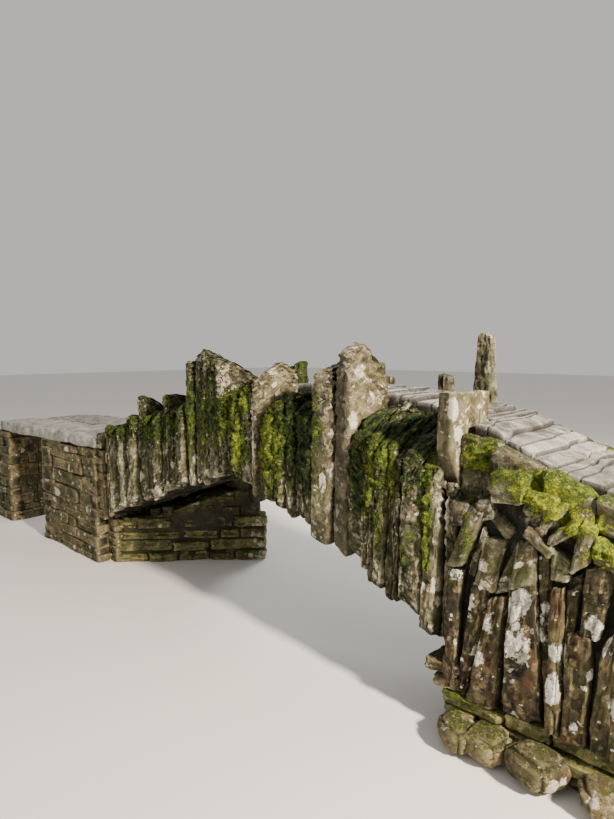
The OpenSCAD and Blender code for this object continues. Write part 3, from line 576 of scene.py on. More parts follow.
# slabs that stand above tallFrom are smoother blocks with more rows of cells
# greatEdge is the painted shade on the great slab's near edge
nearFace = dict(drop=(-0.075, 0.01), setBack=(-0.005, 0.085), gap=(0.003, 0.012), skew=(-0.045, 0.045), taper=0.3,
                tallFrom=2.3, tallCells=(9, 20, 52), lowCells=(11, 13, 52), greatEdge=0.7)
nearIn = -bridge["halfWidth"] + bridge["nearDepth"]
farIn = bridge["halfWidth"] - bridge["nearDepth"]
allRows = sorted(row for rows in nearTables.values() for row in rows)
seed = 100
for name, rows in nearTables.items():
    parts = []
    for row in rows:
        x0, x1, near, peak, back = row[:5]
        spot = allRows.index(row)
        beside = [allRows[max(spot - 1, 0)][2:5], allRows[min(spot + 1, len(allRows) - 1)][2:5]]
        seed += 5
        drop = draw(seed, *nearFace["drop"])
        front = -bridge["halfWidth"] + draw(seed + 1, *nearFace["setBack"])
        tall = peak > nearFace["tallFrom"]
        parts.append(slabPart(x0, x1, front, nearIn, float(tail(x0)) + drop, float(tail(x1)) + drop, (near, peak, back),
                              row[5] if len(row) > 5 else slabFit["peakAt"],
                              nearFace["tallCells" if tall else "lowCells"], seed, blockLook if tall else slabLook,
                              taper=nearFace["taper"], gap=draw(seed + 2, *nearFace["gap"]),
                              skew=draw(seed + 3, *nearFace["skew"]), beside=beside,
                              edge=nearFace["greatEdge"] * (name == "great_slab")))
    if name == "right_haunch_near_slabs":
        # packing stones between the last slab and the end block
        parts += [slabPart(2.05, 2.17, -0.69, -0.40, 1.62, 1.62, (1.80, 1.93, 2.00), 0.4, (8, 10, 12), 71),
                  slabPart(2.06, 2.17, -0.41, nearIn, 1.62, 1.62, (2.0, 2.05, 2.07), 0.4, (8, 8, 12), 72)]
    kind, slotName = nearLooks.get(name, ("slateSlab", "slate_slab"))
    makePiece(name + "_stone", parts, kind, slotName, [name], mossy=0.5 if kind == "paleSlate" else 1.0)
print("near face made")

# rows of even slabs inside the arch and on its far face, under the path
rowSlabs = dict(corePitch=0.13, farPitch=0.115, coreCells=(6, 14, 5), farCells=(8, 8, 28), drop=(-0.035, 0.01),
                gap=0.003, lap=0.004, uneven=0.04, skew=0.03, hideFoot=0.9, spans=dict(
                    left_haunch=(bridge["pierX"], -0.7), crown=(-0.7, 0.7), right_haunch=(0.7, bridge["springX"])))


def rowParts(x0, x1, pitch, y0, y1, cells, seed, rough, look):
    # rough is 1 for a row whose outer ends are seen
    count = max(2, round((x1 - x0) / pitch))
    d = (x1 - x0) / count
    made = []
    for k in range(count):
        a, b = x0 + k * d, x0 + (k + 1) * d
        drop = draw(seed + k, *rowSlabs["drop"])
        ends = []
        for side in (a, b):
            # where the leaning joint meets the underside of the paving
            z = deckLine(side) - bridge["pavingDepth"]
            for _ in range(3):
                z = float(deckLine(joint(side, z))) - bridge["pavingDepth"]
            ends.append(z)
        top = min(ends) + rowSlabs["lap"]
        far = y1 - rough * draw(seed + k + 50, 0, rowSlabs["uneven"])
        skew = rough * draw(seed + k + 90, -rowSlabs["skew"], rowSlabs["skew"])

        def place(q, a=a, b=b, drop=drop, top=top, far=far, skew=skew, gap=rowSlabs["gap"]):
            u, v, w = q.T
            low = float(tail(a)) + (float(tail(b)) - float(tail(a))) * u + drop
            z = low + w * (top - low)
            x = joint(a + gap + u * (b - a - 2 * gap), z)
            return np.stack([x, y0 + v * (far - y0) + skew * (u - 0.5) * v, z], 1)

        def hide(q, far=far):
            # painted shade: darker deeper in the joints of a row whose ends are seen, and at the foot under the arch
            deep = ramp((1 - q[:, 1]) * (far - y0), slabFit["darkFrom"], slabFit["darkOver"])
            foot = np.clip(1 - q[:, 2] * 20, 0, 1) * (rowSlabs["hideFoot"] * deep if rough else rowSlabs["hideFoot"])
            return np.maximum(rough * deep, foot)
        made.append(stone(place, (b - a, far - y0, top - float(tail(a))), cells, seed + k, look, hide=hide))
    return made


coreLook = dict(slabLook, step=0.018, ragged=0.06, rounding=0.016)
for name, (x0, x1) in rowSlabs["spans"].items():
    seed += 100
    core = rowParts(x0, x1, rowSlabs["corePitch"], nearIn, farIn, rowSlabs["coreCells"], seed, 0, coreLook)
    makePiece(name + "_core_slabs_stone", core, "slateSlab", "slate_slab", [name + "_core_slabs"], mossy=0.2)
    far = rowParts(x0, x1, rowSlabs["farPitch"], farIn, bridge["halfWidth"], rowSlabs["farCells"], seed + 50, 1,
                   slabLook)
    makePiece(name + "_far_slabs_stone", far, "slateSlab", "slate_slab", [name + "_far_slabs"])
print("rows made")

# the wings: corners of each stone on the face (x, z from bottom left round), then how far it stands back and its tone
wingStones = [
    ((2.271, 0.424), (2.355, 0.344), (2.390, 1.150), (2.289, 1.137), 0.00, 0.35),
    ((2.363, 0.313), (2.436, 0.308), (2.572, 1.081), (2.462, 1.103), 0.02, 0.3),
    ((2.437, 0.290), (2.658, 0.291), (2.683, 1.062), (2.580, 1.018), 0.01, 0.6),
    ((2.692, 0.290), (2.928, 0.312), (2.869, 1.208), (2.707, 1.119), 0.0, 0.2),
    ((2.934, 0.315), (2.970, 0.313), (2.945, 1.367), (2.870, 1.349), 0.05, 0.1),
    ((2.958, 0.307), (3.035, 0.290), (3.035, 1.225), (2.963, 1.192), 0.0, 0.8),
    ((3.041, 0.70), (3.069, 0.70), (3.124, 1.325), (3.044, 1.274), 0.05, 0.1),
    ((3.043, 0.290), (3.186, 0.290), (3.198, 0.970), (3.060, 0.943), 0.01, 0.45),
    ((3.114, 0.941), (3.235, 0.954), (3.294, 1.426), (3.138, 1.358), 0.02, 0.25),
    ((3.198, 0.290), (3.335, 0.290), (3.330, 1.090), (3.258, 0.954), 0.0, 0.5)
]
rubbleStones = [
    ((2.580, 1.639), (2.774, 1.656), (2.774, 1.825), (2.561, 1.806), 0.0, 0.9),
    ((2.544, 1.538), (2.652, 1.409), (2.712, 1.497), (2.595, 1.586), 0.06, 0.3),
    ((2.478, 1.486), (2.583, 1.539), (2.580, 1.639), (2.474, 1.621), 0.02, 0.5),
    ((2.289, 1.171), (2.403, 1.187), (2.529, 1.573), (2.433, 1.594), 0.0, 0.3),
    ((2.482, 1.10), (2.600, 1.060), (2.666, 1.393), (2.534, 1.408), 0.02, 0.4),
    ((2.603, 1.050), (2.705, 1.110), (2.765, 1.415), (2.716, 1.404), 0.05, 0.1),
    ((2.715, 1.130), (2.865, 1.210), (2.849, 1.435), (2.765, 1.415), 0.0, 0.3),
    ((2.800, 1.454), (2.930, 1.375), (2.972, 1.432), (2.834, 1.534), -0.01, 0.6),
    ((2.852, 1.528), (2.900, 1.476), (3.000, 1.674), (2.944, 1.675), 0.02, 0.4),
    ((2.777, 1.571), (2.798, 1.516), (2.875, 1.539), (2.877, 1.635), 0.04, 0.2),
    ((2.953, 1.447), (3.087, 1.547), (3.079, 1.603), (2.950, 1.517), 0.0, 0.8),
    ((3.060, 1.308), (3.148, 1.389), (3.175, 1.564), (3.112, 1.592), 0.01, 0.5),
    ((2.300, 1.44), (2.405, 1.45), (2.430, 1.60), (2.305, 1.60), 0.02, 0.2),
    ((2.412, 1.12), (2.475, 1.12), (2.530, 1.42), (2.500, 1.46), 0.05, 0.1),
    ((2.950, 1.24), (3.035, 1.25), (3.060, 1.36), (2.975, 1.43), 0.02, 0.5),
    ((2.600, 1.44), (2.760, 1.42), (2.790, 1.62), (2.590, 1.63), 0.13, 0.1),
    ((2.790, 1.60), (2.900, 1.62), (2.950, 1.70), (2.780, 1.73), 0.02, 0.3),
    ((3.180, 1.40), (3.330, 1.36), (3.335, 1.44), (3.190, 1.52), 0.02, 0.3)
]
# packing beside the end block: corners alone
packing = [
    ((2.30, 1.60), (2.44, 1.60), (2.43, 1.83), (2.30, 1.80)),
    ((2.44, 1.62), (2.60, 1.62), (2.59, 1.84), (2.44, 1.85)),
    ((2.30, 1.81), (2.38, 1.83), (2.39, 2.00), (2.30, 2.02)), ((2.39, 1.84), (2.56, 1.84), (2.54, 1.98), (2.40, 2.0))
]
# the run past the stones that the photograph shows: from, to, and the height of the slabs
wingTable = [
    (3.33, 3.56, 1.15), (3.56, 3.79, 1.12), (3.79, 3.96, 1.06), (3.96, 4.21, 1.04), (4.21, 4.40, 0.98),
    (4.40, 4.66, 0.96), (4.66, 4.85, 0.92), (4.85, 5.11, 0.90), (5.11, 5.30, 0.88)
]
wing = dict(nearCells=(14, 6, 44), farCells=(10, 5, 30), rubbleCells=(9, 6, 11), runCells=(9, 5, 26),
            lowCells=(7, 4, 5), packingCells=(9, 6, 8), capCells=(10, 6, 5), foot=0.3, slabDepth=0.23,
            rubbleDepth=0.24, runDepth=0.22, lowDepth=0.2, packingBack=0.165, packingDepth=0.09, cut=(0.35, 0.65),
            head=0.05, tip=0.03, setBack=(0, 0.035), tall=(0.06, 0.15), lowTip=0.025, lowBack=(0, 0.05),
            heartX=2.33, heartY=0.575, heartDepth=0.075, capX=2.52, capY=0.66, capLength=(0.14, 0.34), capTall=0.2,
            capShare=0.14, rampHalf=0.5, drawnFrom=3.39, drawnTo=5.30)
wingLook = dict(slabLook, rounding=0.024, step=0.013, lump=0.02, ragged=0.0, chips=9)


def wingX(x):
    # the table's run drawn out evenly to the end of the bridge
    start, end = wing["drawnFrom"], wing["drawnTo"]
    return x if x <= start else start + (x - start) * (bridge["halfLength"] - start) / (end - start)


def facePart(corners, back, tone, side, depth, cells, seed, look, grow=0.003, grainAxis=0):
    # a stone seen as four corners on the face: u runs along, v from the outer face in, w up
    c = np.array(corners, float)
    c = c + np.sign(c - c.mean(0)) * grow
    outer = bridge["halfWidth"] - back

    def place(q):
        u, v, w = q.T
        weights = ((1 - u) * (1 - w), u * (1 - w), u * w, (1 - u) * w)
        flat = sum(c[k] * weight[:, None] for k, weight in enumerate(weights))
        y = -outer + v * depth if side < 0 else outer - (1 - v) * depth
        return np.stack([np.minimum(flat[:, 0], bridge["halfLength"]), y, flat[:, 1]], 1)

    def hide(q):
        # painted shade deeper in the joints
        return ramp((q[:, 1] if side < 0 else 1 - q[:, 1]) * depth, 0.03, 0.05)
    size = (np.linalg.norm(c[1] - c[0] + c[2] - c[3]) / 2, depth, np.linalg.norm(c[3] - c[0] + c[2] - c[1]) / 2)
    made = stone(place, size, cells, seed, look, grainAxis=grainAxis, hide=hide)
    return made[:3] + (np.full(len(made[3]), tone + draw(seed, -0.1, 0.1)),) + made[4:]


for side, where in ((-1, "near"), (1, "far")):
    slabs = [facePart(s[:4], s[4], s[5], side, wing["slabDepth"] - s[4], wing[where + "Cells"],
                      3000 + 7 * k + 400 * side, wingLook) for k, s in enumerate(wingStones)]
    # a stone that stands more than 0.2 m tall is split upright, the others lie flat
    rubble = [facePart(s[:4], s[4], s[5], side, wing["rubbleDepth"] - s[4], wing["rubbleCells"],
                       3200 + 7 * k + 400 * side, rubbleLook, grow=0.010,
                       grainAxis=0 if abs(s[3][1] - s[0][1]) > 0.2 else 2) for k, s in enumerate(rubbleStones)]
    for s0, s1, top in wingTable:
        a, b = wingX(s0), wingX(s1)
        seed += 5
        cut = a + (b - a) * draw(seed + 1, *wing["cut"])
        for x0, x1 in ((a, cut), (cut, b)):
            seed += 2
            head, foot = top + draw(seed, -wing["head"], wing["head"]), wing["foot"]
            quad = [(float(joint(x0, foot)), foot), (float(joint(x1, foot)), foot),
                    (float(joint(x1, head)), head + draw(seed + 3, -wing["tip"], wing["tip"])),
                    (float(joint(x0, head)), head)]
            slabs.append(facePart(quad, draw(seed + 1, *wing["setBack"]), draw(seed + 2), side, wing["runDepth"],
                                  wing["runCells"], seed, wingLook, grow=0.0))
            # flat stones laid on the slab up to the wall line
            z, limit = head, float(wallLine((x0 + x1) / 2)) - 0.01
            while z < limit - 0.03:
                seed += 3
                tall = draw(seed, *wing["tall"])
                nextZ = limit if limit - z - tall < 0.05 else z + tall
                tip = draw(seed + 2, -wing["lowTip"], wing["lowTip"])
                quad = [(x0, z), (x1, z), (x1, nextZ + tip * (nextZ < limit)), (x0, nextZ)]
                rubble.append(facePart(quad, draw(seed + 1, *wing["lowBack"]), draw(seed + 2), side, wing["lowDepth"],
                                       wing["lowCells"], seed, rubbleLook, grow=0.004, grainAxis=2))
                z = nextZ

    # the heart of the wall, painted dark as the shade behind the joints, and the flat stones that step up to the path
    def wallHeart(q):
        u, v, w = q.T
        x = wing["heartX"] + u * (bridge["halfLength"] - 0.04 - wing["heartX"])
        y = wing["heartY"] + wing["heartDepth"] * (v if side > 0 else 1 - v)
        return np.stack([x, side * y, wing["foot"] + w * (wallLine(x) - 0.08 - wing["foot"])], 1)
    rubble.append(stone(wallHeart, (3.2, wing["heartDepth"], 1.0), (36, 2, 14), 31, rubbleLook,
                        hide=lambda q: np.ones(len(q))))
    rubble += [facePart(s, wing["packingBack"], 0.5, side, wing["packingDepth"], wing["packingCells"],
                        3500 + 7 * k + 400 * side, rubbleLook, grow=0.01, grainAxis=2) for k, s in enumerate(packing)]
    x = wing["capX"]
    while x < bridge["halfLength"] - 0.05:
        seed += 3
        nextX = min(bridge["halfLength"], x + draw(seed, *wing["capLength"]))
        nextX = bridge["halfLength"] if bridge["halfLength"] - nextX < 0.12 else nextX

        def cap(q, a=x, b=nextX, out=wing["capY"] - draw(seed + 1, 0, 0.04), up=draw(seed + 2, -0.03, 0.02)):
            # its top lies between the wall's and the path's: capShare of the one and the rest of the other
            u, v, w = q.T
            along = a + 0.004 + u * (b - a - 0.008)
            top = wing["capShare"] * wallLine(along) + (1 - wing["capShare"]) * deckLine(along) + up
            y = wing["rampHalf"] + (out - wing["rampHalf"]) * (v if side > 0 else 1 - v)
            return np.stack([along, side * y, top - wing["capTall"] + w * wing["capTall"]], 1)
        rubble.append(stone(cap, (nextX - x, 0.15, wing["capTall"]), wing["capCells"], seed, rubbleLook, grainAxis=2))
        x = nextX
    wingName = "right_wing_" + where
    makePiece(wingName + "_slabs_stone", slabs, "wingSlate", "slate_slab", [wingName + "_slabs"], mossy=0.9)
    makePiece(wingName + "_rubble_stone", rubble, "mossySlate", "mossy_slab", [wingName + "_rubble"])
print("wings made")

# path of pitched slates: long strips laid across, domed, worn and wavy
pathSpans = {"deck_left_paving": (bridge["pierX"], -0.7, nearIn, 0.61), "deck_crown_paving": (-0.7, 0.7, nearIn, 0.61),
             "deck_right_paving": (0.7, 2.33, nearIn, 0.61), "ramp_paving": (2.33, 5.57, -0.5, 0.5)}
# darkBelow: share of a strip's height below which it is black with painted shade
paving = dict(wide=(0.05, 0.14), leastWide=0.05, cut=(0.35, 0.65), cutShare=0.5, lift=(-0.010, 0.006),
              tip=(0.002, 0.015), jointAlong=0.001, jointAcross=0.004, bow=0.045, straightEnds=0.05, dome=0.002,
              cells=(7, 22, 3), darkLine=0.004, lineDirt=1.75, darkBelow=0.86)
for name, (x0, x1, y0, y1) in pathSpans.items():
    parts = []
    x = x0
    while x < x1 - 0.03:
        seed += 2
        wide = draw(seed, *paving["wide"])
        nextX = x1 if x1 - x - wide < paving["leastWide"] else x + wide
        cut = draw(seed + 1, *paving["cut"])
        for k, (c0, c1) in enumerate(((0, cut), (cut, 1)) if draw(seed + 5) < paving["cutShare"] else ((0, 1),)):
            lift, tip = draw(seed + k + 9, *paving["lift"]), draw(seed + k + 19, *paving["tip"])

            def place(q, a0=x, a1=nextX, b0=y0 + (y1 - y0) * c0, b1=y0 + (y1 - y0) * c1, up=lift, tip=tip):
                # a strip whose top follows the deck line, domed across and bent along, but not at the path's ends
                a, b, c = q.T
                along = a0 + paving["jointAlong"] + a * (a1 - a0 - 2 * paving["jointAlong"])
                across = b0 + paving["jointAcross"] + b * (b1 - b0 - 2 * paving["jointAcross"])
                inside = ramp(along, x0, paving["straightEnds"]) * np.clip((x1 - along) / paving["straightEnds"], 0, 1)
                bow = paving["bow"] * noise(np.stack([along * 2.5, across * 4.5, along * 0], 1), 13) * inside
                dome = -paving["dome"] * (2 * a - 1) ** 2
                z = deckLine(along) - bridge["pavingDepth"]
                tall = bridge["pavingDepth"] + up + tip * (2 * a - 1) + dome
                return np.stack([along + bow, across, z + c * tall], 1)

            def hide(q, wide=nextX - x):
                # painted shade, black, below the worn top, and a thin dark line along each long edge
                line = paving["lineDirt"] * (np.minimum(q[:, 0], 1 - q[:, 0]) * wide < paving["darkLine"])
                return np.maximum(np.clip((paving["darkBelow"] - q[:, 2]) / 0.12, 0, 1), line)
            size = (nextX - x, (y1 - y0) * (c1 - c0), bridge["pavingDepth"])
            parts.append(stone(place, size, paving["cells"], seed + k, pavingLook, hide=hide))
        x = nextX
    makePiece(name + "_stone", parts, "wornSlate", "worn_paving", [name], mossy=0.35, damp=0.02)
print("path made")


# laid stones: courses of flat slate along a wall's face
def course(start, end, low, top, depth, lengths, cells, seed, look=courseLook, stand=0.03, stain=0.0, slack=0.003,
           fill=(0.86, 1.12)):
    # walks from start to end with the wall on the left; each stone is a box along, inwards and up. stand is how far a
    # stone may stand back, stain the least painted shade on it, slack half its end joint, and fill its share of the
    # height
    start, end = np.array(start, float), np.array(end, float)
    run = np.linalg.norm(end - start)
    way = (end - start) / run
    inward = np.array([-way[1], way[0]])
    made, s, k = [], 0.0, 0
    while s < run - 0.02:
        long = draw(seed + k, *lengths)
        reach = run if run - s - long < lengths[0] * 0.6 else s + long
        back = draw(seed + k + 1000, -0.004, stand)
        tilt, turn = draw(seed + k + 2000, -0.02, 0.02), draw(seed + k + 3000, -0.02, 0.02)
        tall = (top - low) * draw(seed + k + 4000, *fill)

        def place(q, s0=s, s1=reach, back=back, tilt=tilt, turn=turn, tall=tall):
            a, b, c = q.T
            along = s0 + slack + a * (s1 - s0 - 2 * slack)
            inside = back + turn * (a - 0.5) + b * depth
            flat = start + way * along[:, None] + inward * inside[:, None]
            z = low + c * tall + tilt * (a - 0.5) * (low > 0) * np.sin(np.pi * c)
            return np.column_stack([flat, np.maximum(0, z)])

        def hide(q):
            # painted shade deeper in the joints, never less than stain
            return np.clip((q[:, 1] * depth - 0.02) / 0.04, stain, 1)
        made.append(stone(place, (reach - s, depth, top - low), cells, seed + k, look, grainAxis=2, hide=hide))
        s, k = reach, k + 1
    return made


def walling(corners, low, top, heights, lengths, depth, seed, cells, look=courseLook):
    # courses of random height round an outline of corners
    made, z, k = [], low, 0
    while z < top - 0.01:
        tall = draw(seed + k, *heights)
        nextZ = top if top - z - tall < heights[0] * 0.7 else z + tall
        for j, corner in enumerate(corners):
            made += course(corner, corners[(j + 1) % len(corners)], z, nextZ, depth, lengths, cells,
                           seed + 37 * k + 911 * j, look)
        z, k = nextZ, k + 1
    return made


def heart(corners, low, top, inset):
    # the inside of a pier, painted dark with shade: four corners drawn in towards their middle, u along the first side
    # and v across
    c = np.array(corners, float)
    mid = c.mean(0)
    c = mid + (c - mid) * (1 - inset / np.linalg.norm(c - mid, axis=1))[:, None]

    def place(q):
        u, v, w = q.T
        weights = ((1 - u) * (1 - v), u * (1 - v), u * v, (1 - u) * v)
        return np.column_stack([sum(c[k] * weight[:, None] for k, weight in enumerate(weights)), low + w * (top - low)])
    return [stone(place, (1.0, 1.0, 1.0), (8, 8, 8), 5, plainLook, hide=lambda q: np.ones(len(q)))]


# two long slabs abreast on the piers: the top rises towards the arch, and falls gently at both ends
clapper = dict(fromX=-5.51, long=3.11, tall=0.15, topFrom=1.50, climb=0.06, joint=0.008, wander=0.015,
               cells=(100, 20, 6), slabs={"clapper_near_slab": (-0.75, -0.02, 0.012),
                                          "clapper_far_slab": (-0.02, 0.725, 0.02)})
clapperLook = dict(rounding=0.03, step=0.008, flake=0.008, lump=0.02, fine=0.002, ragged=0.0, chips=14)
for name, (y0, y1, drop) in clapper["slabs"].items():
    def place(q):
        a, b, c = q.T
        x = clapper["fromX"] + a * clapper["long"]
        top = clapper["topFrom"] + clapper["climb"] * a - drop * (2 * a - 1) ** 4
        wander = clapper["wander"] * noise(np.stack([x * 2.1, b * 0, b * 0], 1), 91) * (2 * b - 1)
        y = y0 + clapper["joint"] + b * (y1 - y0 - 2 * clapper["joint"]) - np.abs(wander) * np.sign(2 * b - 1)
        return np.stack([x, y, top - clapper["tall"] * (1 - c)], 1)
    seed += 9
    slab = stone(place, (clapper["long"], y1 - y0, clapper["tall"]), clapper["cells"], seed, clapperLook, grainAxis=2)
    makePiece(name + "_stone", [slab], "wornSlate", "pale_slab", [name], mossy=0.8, damp=0.03)


def outline(x0, x1, y0, y1):
    return [(x0, y0), (x1, y0), (x1, y1), (x0, y1)]


# the two rubble piers, and the narrower cheek under the left springing with its upper near part
hw = bridge["halfWidth"]
piers = dict(cells=(8, 3, 5), cheekCells=(5, 2, 3), depth=0.16, inset=0.12, end=outline(-5.57, -5.0, -hw, hw),
             left=outline(-3.9, -2.40, -hw, hw), cheek=outline(-2.5, -2.25, -0.595, 0.73),
             upper=outline(-2.5, -2.25, -0.73, -0.53))
stones = walling(piers["end"], 0, 1.352, (0.09, 0.20), (0.20, 0.55), piers["depth"], 4000, piers["cells"])
stones += heart(piers["end"], 0.01, 1.34, piers["inset"])
makePiece("clapper_end_pier_stone", stones, "fieldRubble", "rubble", ["clapper_end_pier"])
stones = walling(piers["left"], 0, 1.385, (0.08, 0.20), (0.18, 0.55), piers["depth"], 5000, piers["cells"])
stones += walling(piers["cheek"], 0, 1.40, (0.06, 0.12), (0.14, 0.36), 0.10, 6000, piers["cheekCells"])
stones += walling(piers["upper"], 0.56, 1.40, (0.06, 0.12), (0.14, 0.30), 0.08, 6500, piers["cheekCells"])
stones += heart(piers["left"], 0.01, 1.37, piers["inset"])
makePiece("left_pier_stone", stones, "fieldRubble", "rubble", ["left_pier"])

# the skewed plinth under the left springing: flat courses whose face runs from one corner to the other. The wall climbs
# towards its far end, so a course above bedTop starts further along the face
# the high courses, up under the arch, carry painted shade: stain 0.9 keeps them nearly black
plinth = dict(fromPlace=(-2.25, -0.60), across=(1.25, 1.336), bedTop=0.555, top=0.84, tall=(0.10, 0.165), slack=0.009,
              fill=(0.70, 0.96), cells=(18, 5, 9), backCells=(9, 4, 5), backFrom=(-1.22, 0.736), backTo=(-2.25, 0.736),
              low=dict(lengths=(0.22, 0.80), stand=0.05, stain=0.0),
              high=dict(lengths=(0.10, 0.28), stand=0.10, stain=0.9))
plinthLook = dict(courseLook, rounding=0.026, step=0.014, lump=0.022, chips=12)


def plinthFace(f):
    # from corner to corner while f goes from 0 to 1
    return np.array([plinth["fromPlace"][k] + plinth["across"][k] * f for k in (0, 1)])


stones, z, k = [], 0.0, 0
while z < plinth["top"]:
    tall = draw(7000 + k, *plinth["tall"])
    nextZ = plinth["bedTop"] if abs(plinth["bedTop"] - z - tall) < 0.04 else z + tall
    bed = z < plinth["bedTop"] - 0.01
    f = 0.0 if bed else 0.22 + (z - plinth["bedTop"]) * 2.4
    if f > 0.88:
        break
    part = plinth["low" if bed else "high"]
    stones += course(plinthFace(f), plinthFace(1.0 if bed else 0.96), z, nextZ, 0.24, part["lengths"], plinth["cells"],
                     7100 + 40 * k, plinthLook, stand=part["stand"], stain=part["stain"], slack=plinth["slack"],
                     fill=plinth["fill"])
    if bed:
        stones += course(plinth["backFrom"], plinth["backTo"], z, nextZ, 0.16, (0.16, 0.42), plinth["backCells"],
                         7800 + 40 * k, plinthLook)
    z, k = nextZ, k + 1

# rough filling behind the face stones, and blocks that pack the far end up to the slab tails, all painted nearly black
# with the shade under the arch
filling = dict(cells=(30, 16, 5), packingCells=(8, 6, 9), shadeAndDirt=0.94, underSlabs=0.045, foot=0.54, climb=0.31,
               packingX=(-2.02, -1.88, -1.76, -1.63, -1.47, -1.26, -1.10, -0.99), packingY=0.51, packingDepth=0.21,
               packingFoot=0.74, lap=0.012, gap=0.004)
ledgeLook = dict(rounding=0.01, step=0.03, flake=0.02, lump=0.025, fine=0.0035, ragged=0.0, chips=0)


def ledge(q):
    # highest at the far end: u along the face, v towards the pier
    u, v, w = q.T
    f = 0.04 + 0.90 * u
    face = plinthFace(f)
    x = face[0] - 0.02 + (-2.24 - face[0]) * v
    climb = 0.55 + filling["climb"] * ramp(f, 0.25, 0.5)
    top = np.maximum(filling["foot"], np.minimum(climb, soffit(x) - filling["underSlabs"]))
    return np.stack([x, face[1] + 0.05, w * top], 1)


def evenShade(q):
    return np.full(len(q), filling["shadeAndDirt"])


stones.append(stone(ledge, (1.0, 1.0, 0.6), filling["cells"], 77, ledgeLook, grainAxis=2, hide=evenShade))
for k, (x0, x1) in enumerate(zip(filling["packingX"][:-1], filling["packingX"][1:])):
    def place(q, back=draw(7700 + k, 0, 0.03)):
        a, b, c = q.T
        x = x0 + filling["gap"] + a * (x1 - x0 - 2 * filling["gap"])
        foot = filling["packingFoot"]
        z = foot + c * (soffit(x) + filling["lap"] - foot)
        return np.stack([x, filling["packingY"] + back + b * filling["packingDepth"], z], 1)
    stones.append(stone(place, (x1 - x0, 0.2, 0.3), filling["packingCells"], 7710 + k, plinthLook, grainAxis=2,
                        hide=evenShade))
makePiece("left_plinth_stone", stones, "riverSlate", "river_stone", ["left_plinth"], damp=0.22)

# a row of narrow upright posts where the clapper meets the arch: from, to, and the top
endPosts = dict(x=(-2.39, -2.25), foot=1.412, cells=(9, 14, 12), ragged=0.02, rows=(
    (-0.736, -0.425, 1.60), (-0.425, -0.09, 1.57), (-0.09, 0.28, 1.585), (0.28, 0.69, 1.56)))
parts = []
for y0, y1, top in endPosts["rows"]:
    seed += 3
    parts.append(slabPart(*endPosts["x"], y0, y1, endPosts["foot"], endPosts["foot"], (top, top, top - 0.01), 0.5,
                          endPosts["cells"], seed, dict(slabLook, ragged=endPosts["ragged"])))
makePiece("left_end_posts_stone", parts, "slateSlab", "slate_slab", ["left_end_posts"])
print("left side made")

# slabs of the far edge that stand over the path: from, to, and how high above the path at both sides
parapet = dict(cells=(10, 7, 14), y=0.61, depth=0.11, gap=0.003, ragged=0.01, rows=(
    (-1.80, -1.69, .06, .04), (-1.69, -1.56, .15, .13), (-1.56, -1.45, .04, .03), (-1.0, -0.88, .11, .14),
    (-0.88, -0.74, .03, .05), (-0.56, -0.43, .21, .24), (-0.43, -0.30, .26, .25), (0.50, 0.61, .09, .07),
    (0.61, 0.76, .20, .19), (0.76, 0.89, .06, .08), (1.40, 1.52, .15, .13)))
parts = []
for x0, x1, h0, h1 in parapet["rows"]:
    def place(q):
        a, b, c = q.T
        x = x0 + parapet["gap"] + a * (x1 - x0 - 2 * parapet["gap"])
        low, top = deckLine(x) - bridge["pavingDepth"], deckLine(x) + h0 + (h1 - h0) * a
        return np.stack([x, parapet["y"] + b * parapet["depth"], low + c * (top - low)], 1)
    seed += 3
    parts.append(stone(place, (x1 - x0, 0.10, 0.13 + h0), parapet["cells"], seed,
                       dict(slabLook, ragged=parapet["ragged"])))
makePiece("far_parapet_slabs_stone", parts, "slateSlab", "slate_slab", ["far_parapet_slabs"])

# the tapered post on the far edge: its sides draw in towards the top, which slopes both ways from a ridge
standingStone = dict(x=1.83, y=0.678, wide=0.20, deep=0.13, top=2.74, taper=0.38, slope=0.07, ridge=0.45,
                     cells=(16, 12, 50), shadeOnSides=0.45)


def standing(q):
    a, b, c = q.T
    low = deckLine(1.73 + a * 0.2) - bridge["pavingDepth"]
    slim = 1 - standingStone["taper"] * np.clip(c, 0, 1) ** 1.5
    z = low + c * (standingStone["top"] - low) - standingStone["slope"] * np.abs(a - standingStone["ridge"]) * c ** 6
    return np.stack([standingStone["x"] + (a - 0.5) * standingStone["wide"] * slim,
                     standingStone["y"] + (b - 0.5) * standingStone["deep"] * slim, z], 1)


# painted shade darkens the post's sides, all but the back part
post = stone(standing, (standingStone["wide"], standingStone["deep"], 0.68), standingStone["cells"], 881,
             dict(slabLook, ragged=0.0), hide=lambda q: standingStone["shadeOnSides"] * (q[:, 1] < 0.6))
makePiece("far_standing_stone_stone", [post], "slateSlab", "slate_slab", ["far_standing_stone"], mossy=0.5)

# the slab on end at the right: its near edge draws in towards the foot, its head is a little rounded
endSlab = dict(x=2.175, thick=0.1, lean=0.012, nearY=-0.726, farY=-0.174, drawnIn=0.17, drawnTo=0.42, foot=1.64,
               tall=0.672, fall=0.02, cells=(10, 30, 36), edgeShade=0.6)


def endBlock(q):
    a, b, c = q.T
    front = endSlab["nearY"] + endSlab["drawnIn"] * np.clip(1 - c / endSlab["drawnTo"], 0, 1)
    return np.stack([endSlab["x"] + endSlab["thick"] * a + endSlab["lean"] * c, front + (endSlab["farY"] - front) * b,
                     endSlab["foot"] + c * (endSlab["tall"] - endSlab["fall"] * b)], 1)


def endEdgeShade(q):
    # painted shade along the near edge
    return endSlab["edgeShade"] * np.clip(1.5 - q[:, 1] * 0.55 / slabFit["edgeWidth"], 0, 1)


endLook = dict(blockLook, rounding=0.013, step=0.006, chips=4, ragged=0.01)
slab = stone(endBlock, (0.10, 0.55, 0.67), endSlab["cells"], 906, endLook, hide=endEdgeShade)
makePiece("end_block_slab_stone", [slab], "paleSlate", "pale_slab", ["end_block_slab"], mossy=0.4)

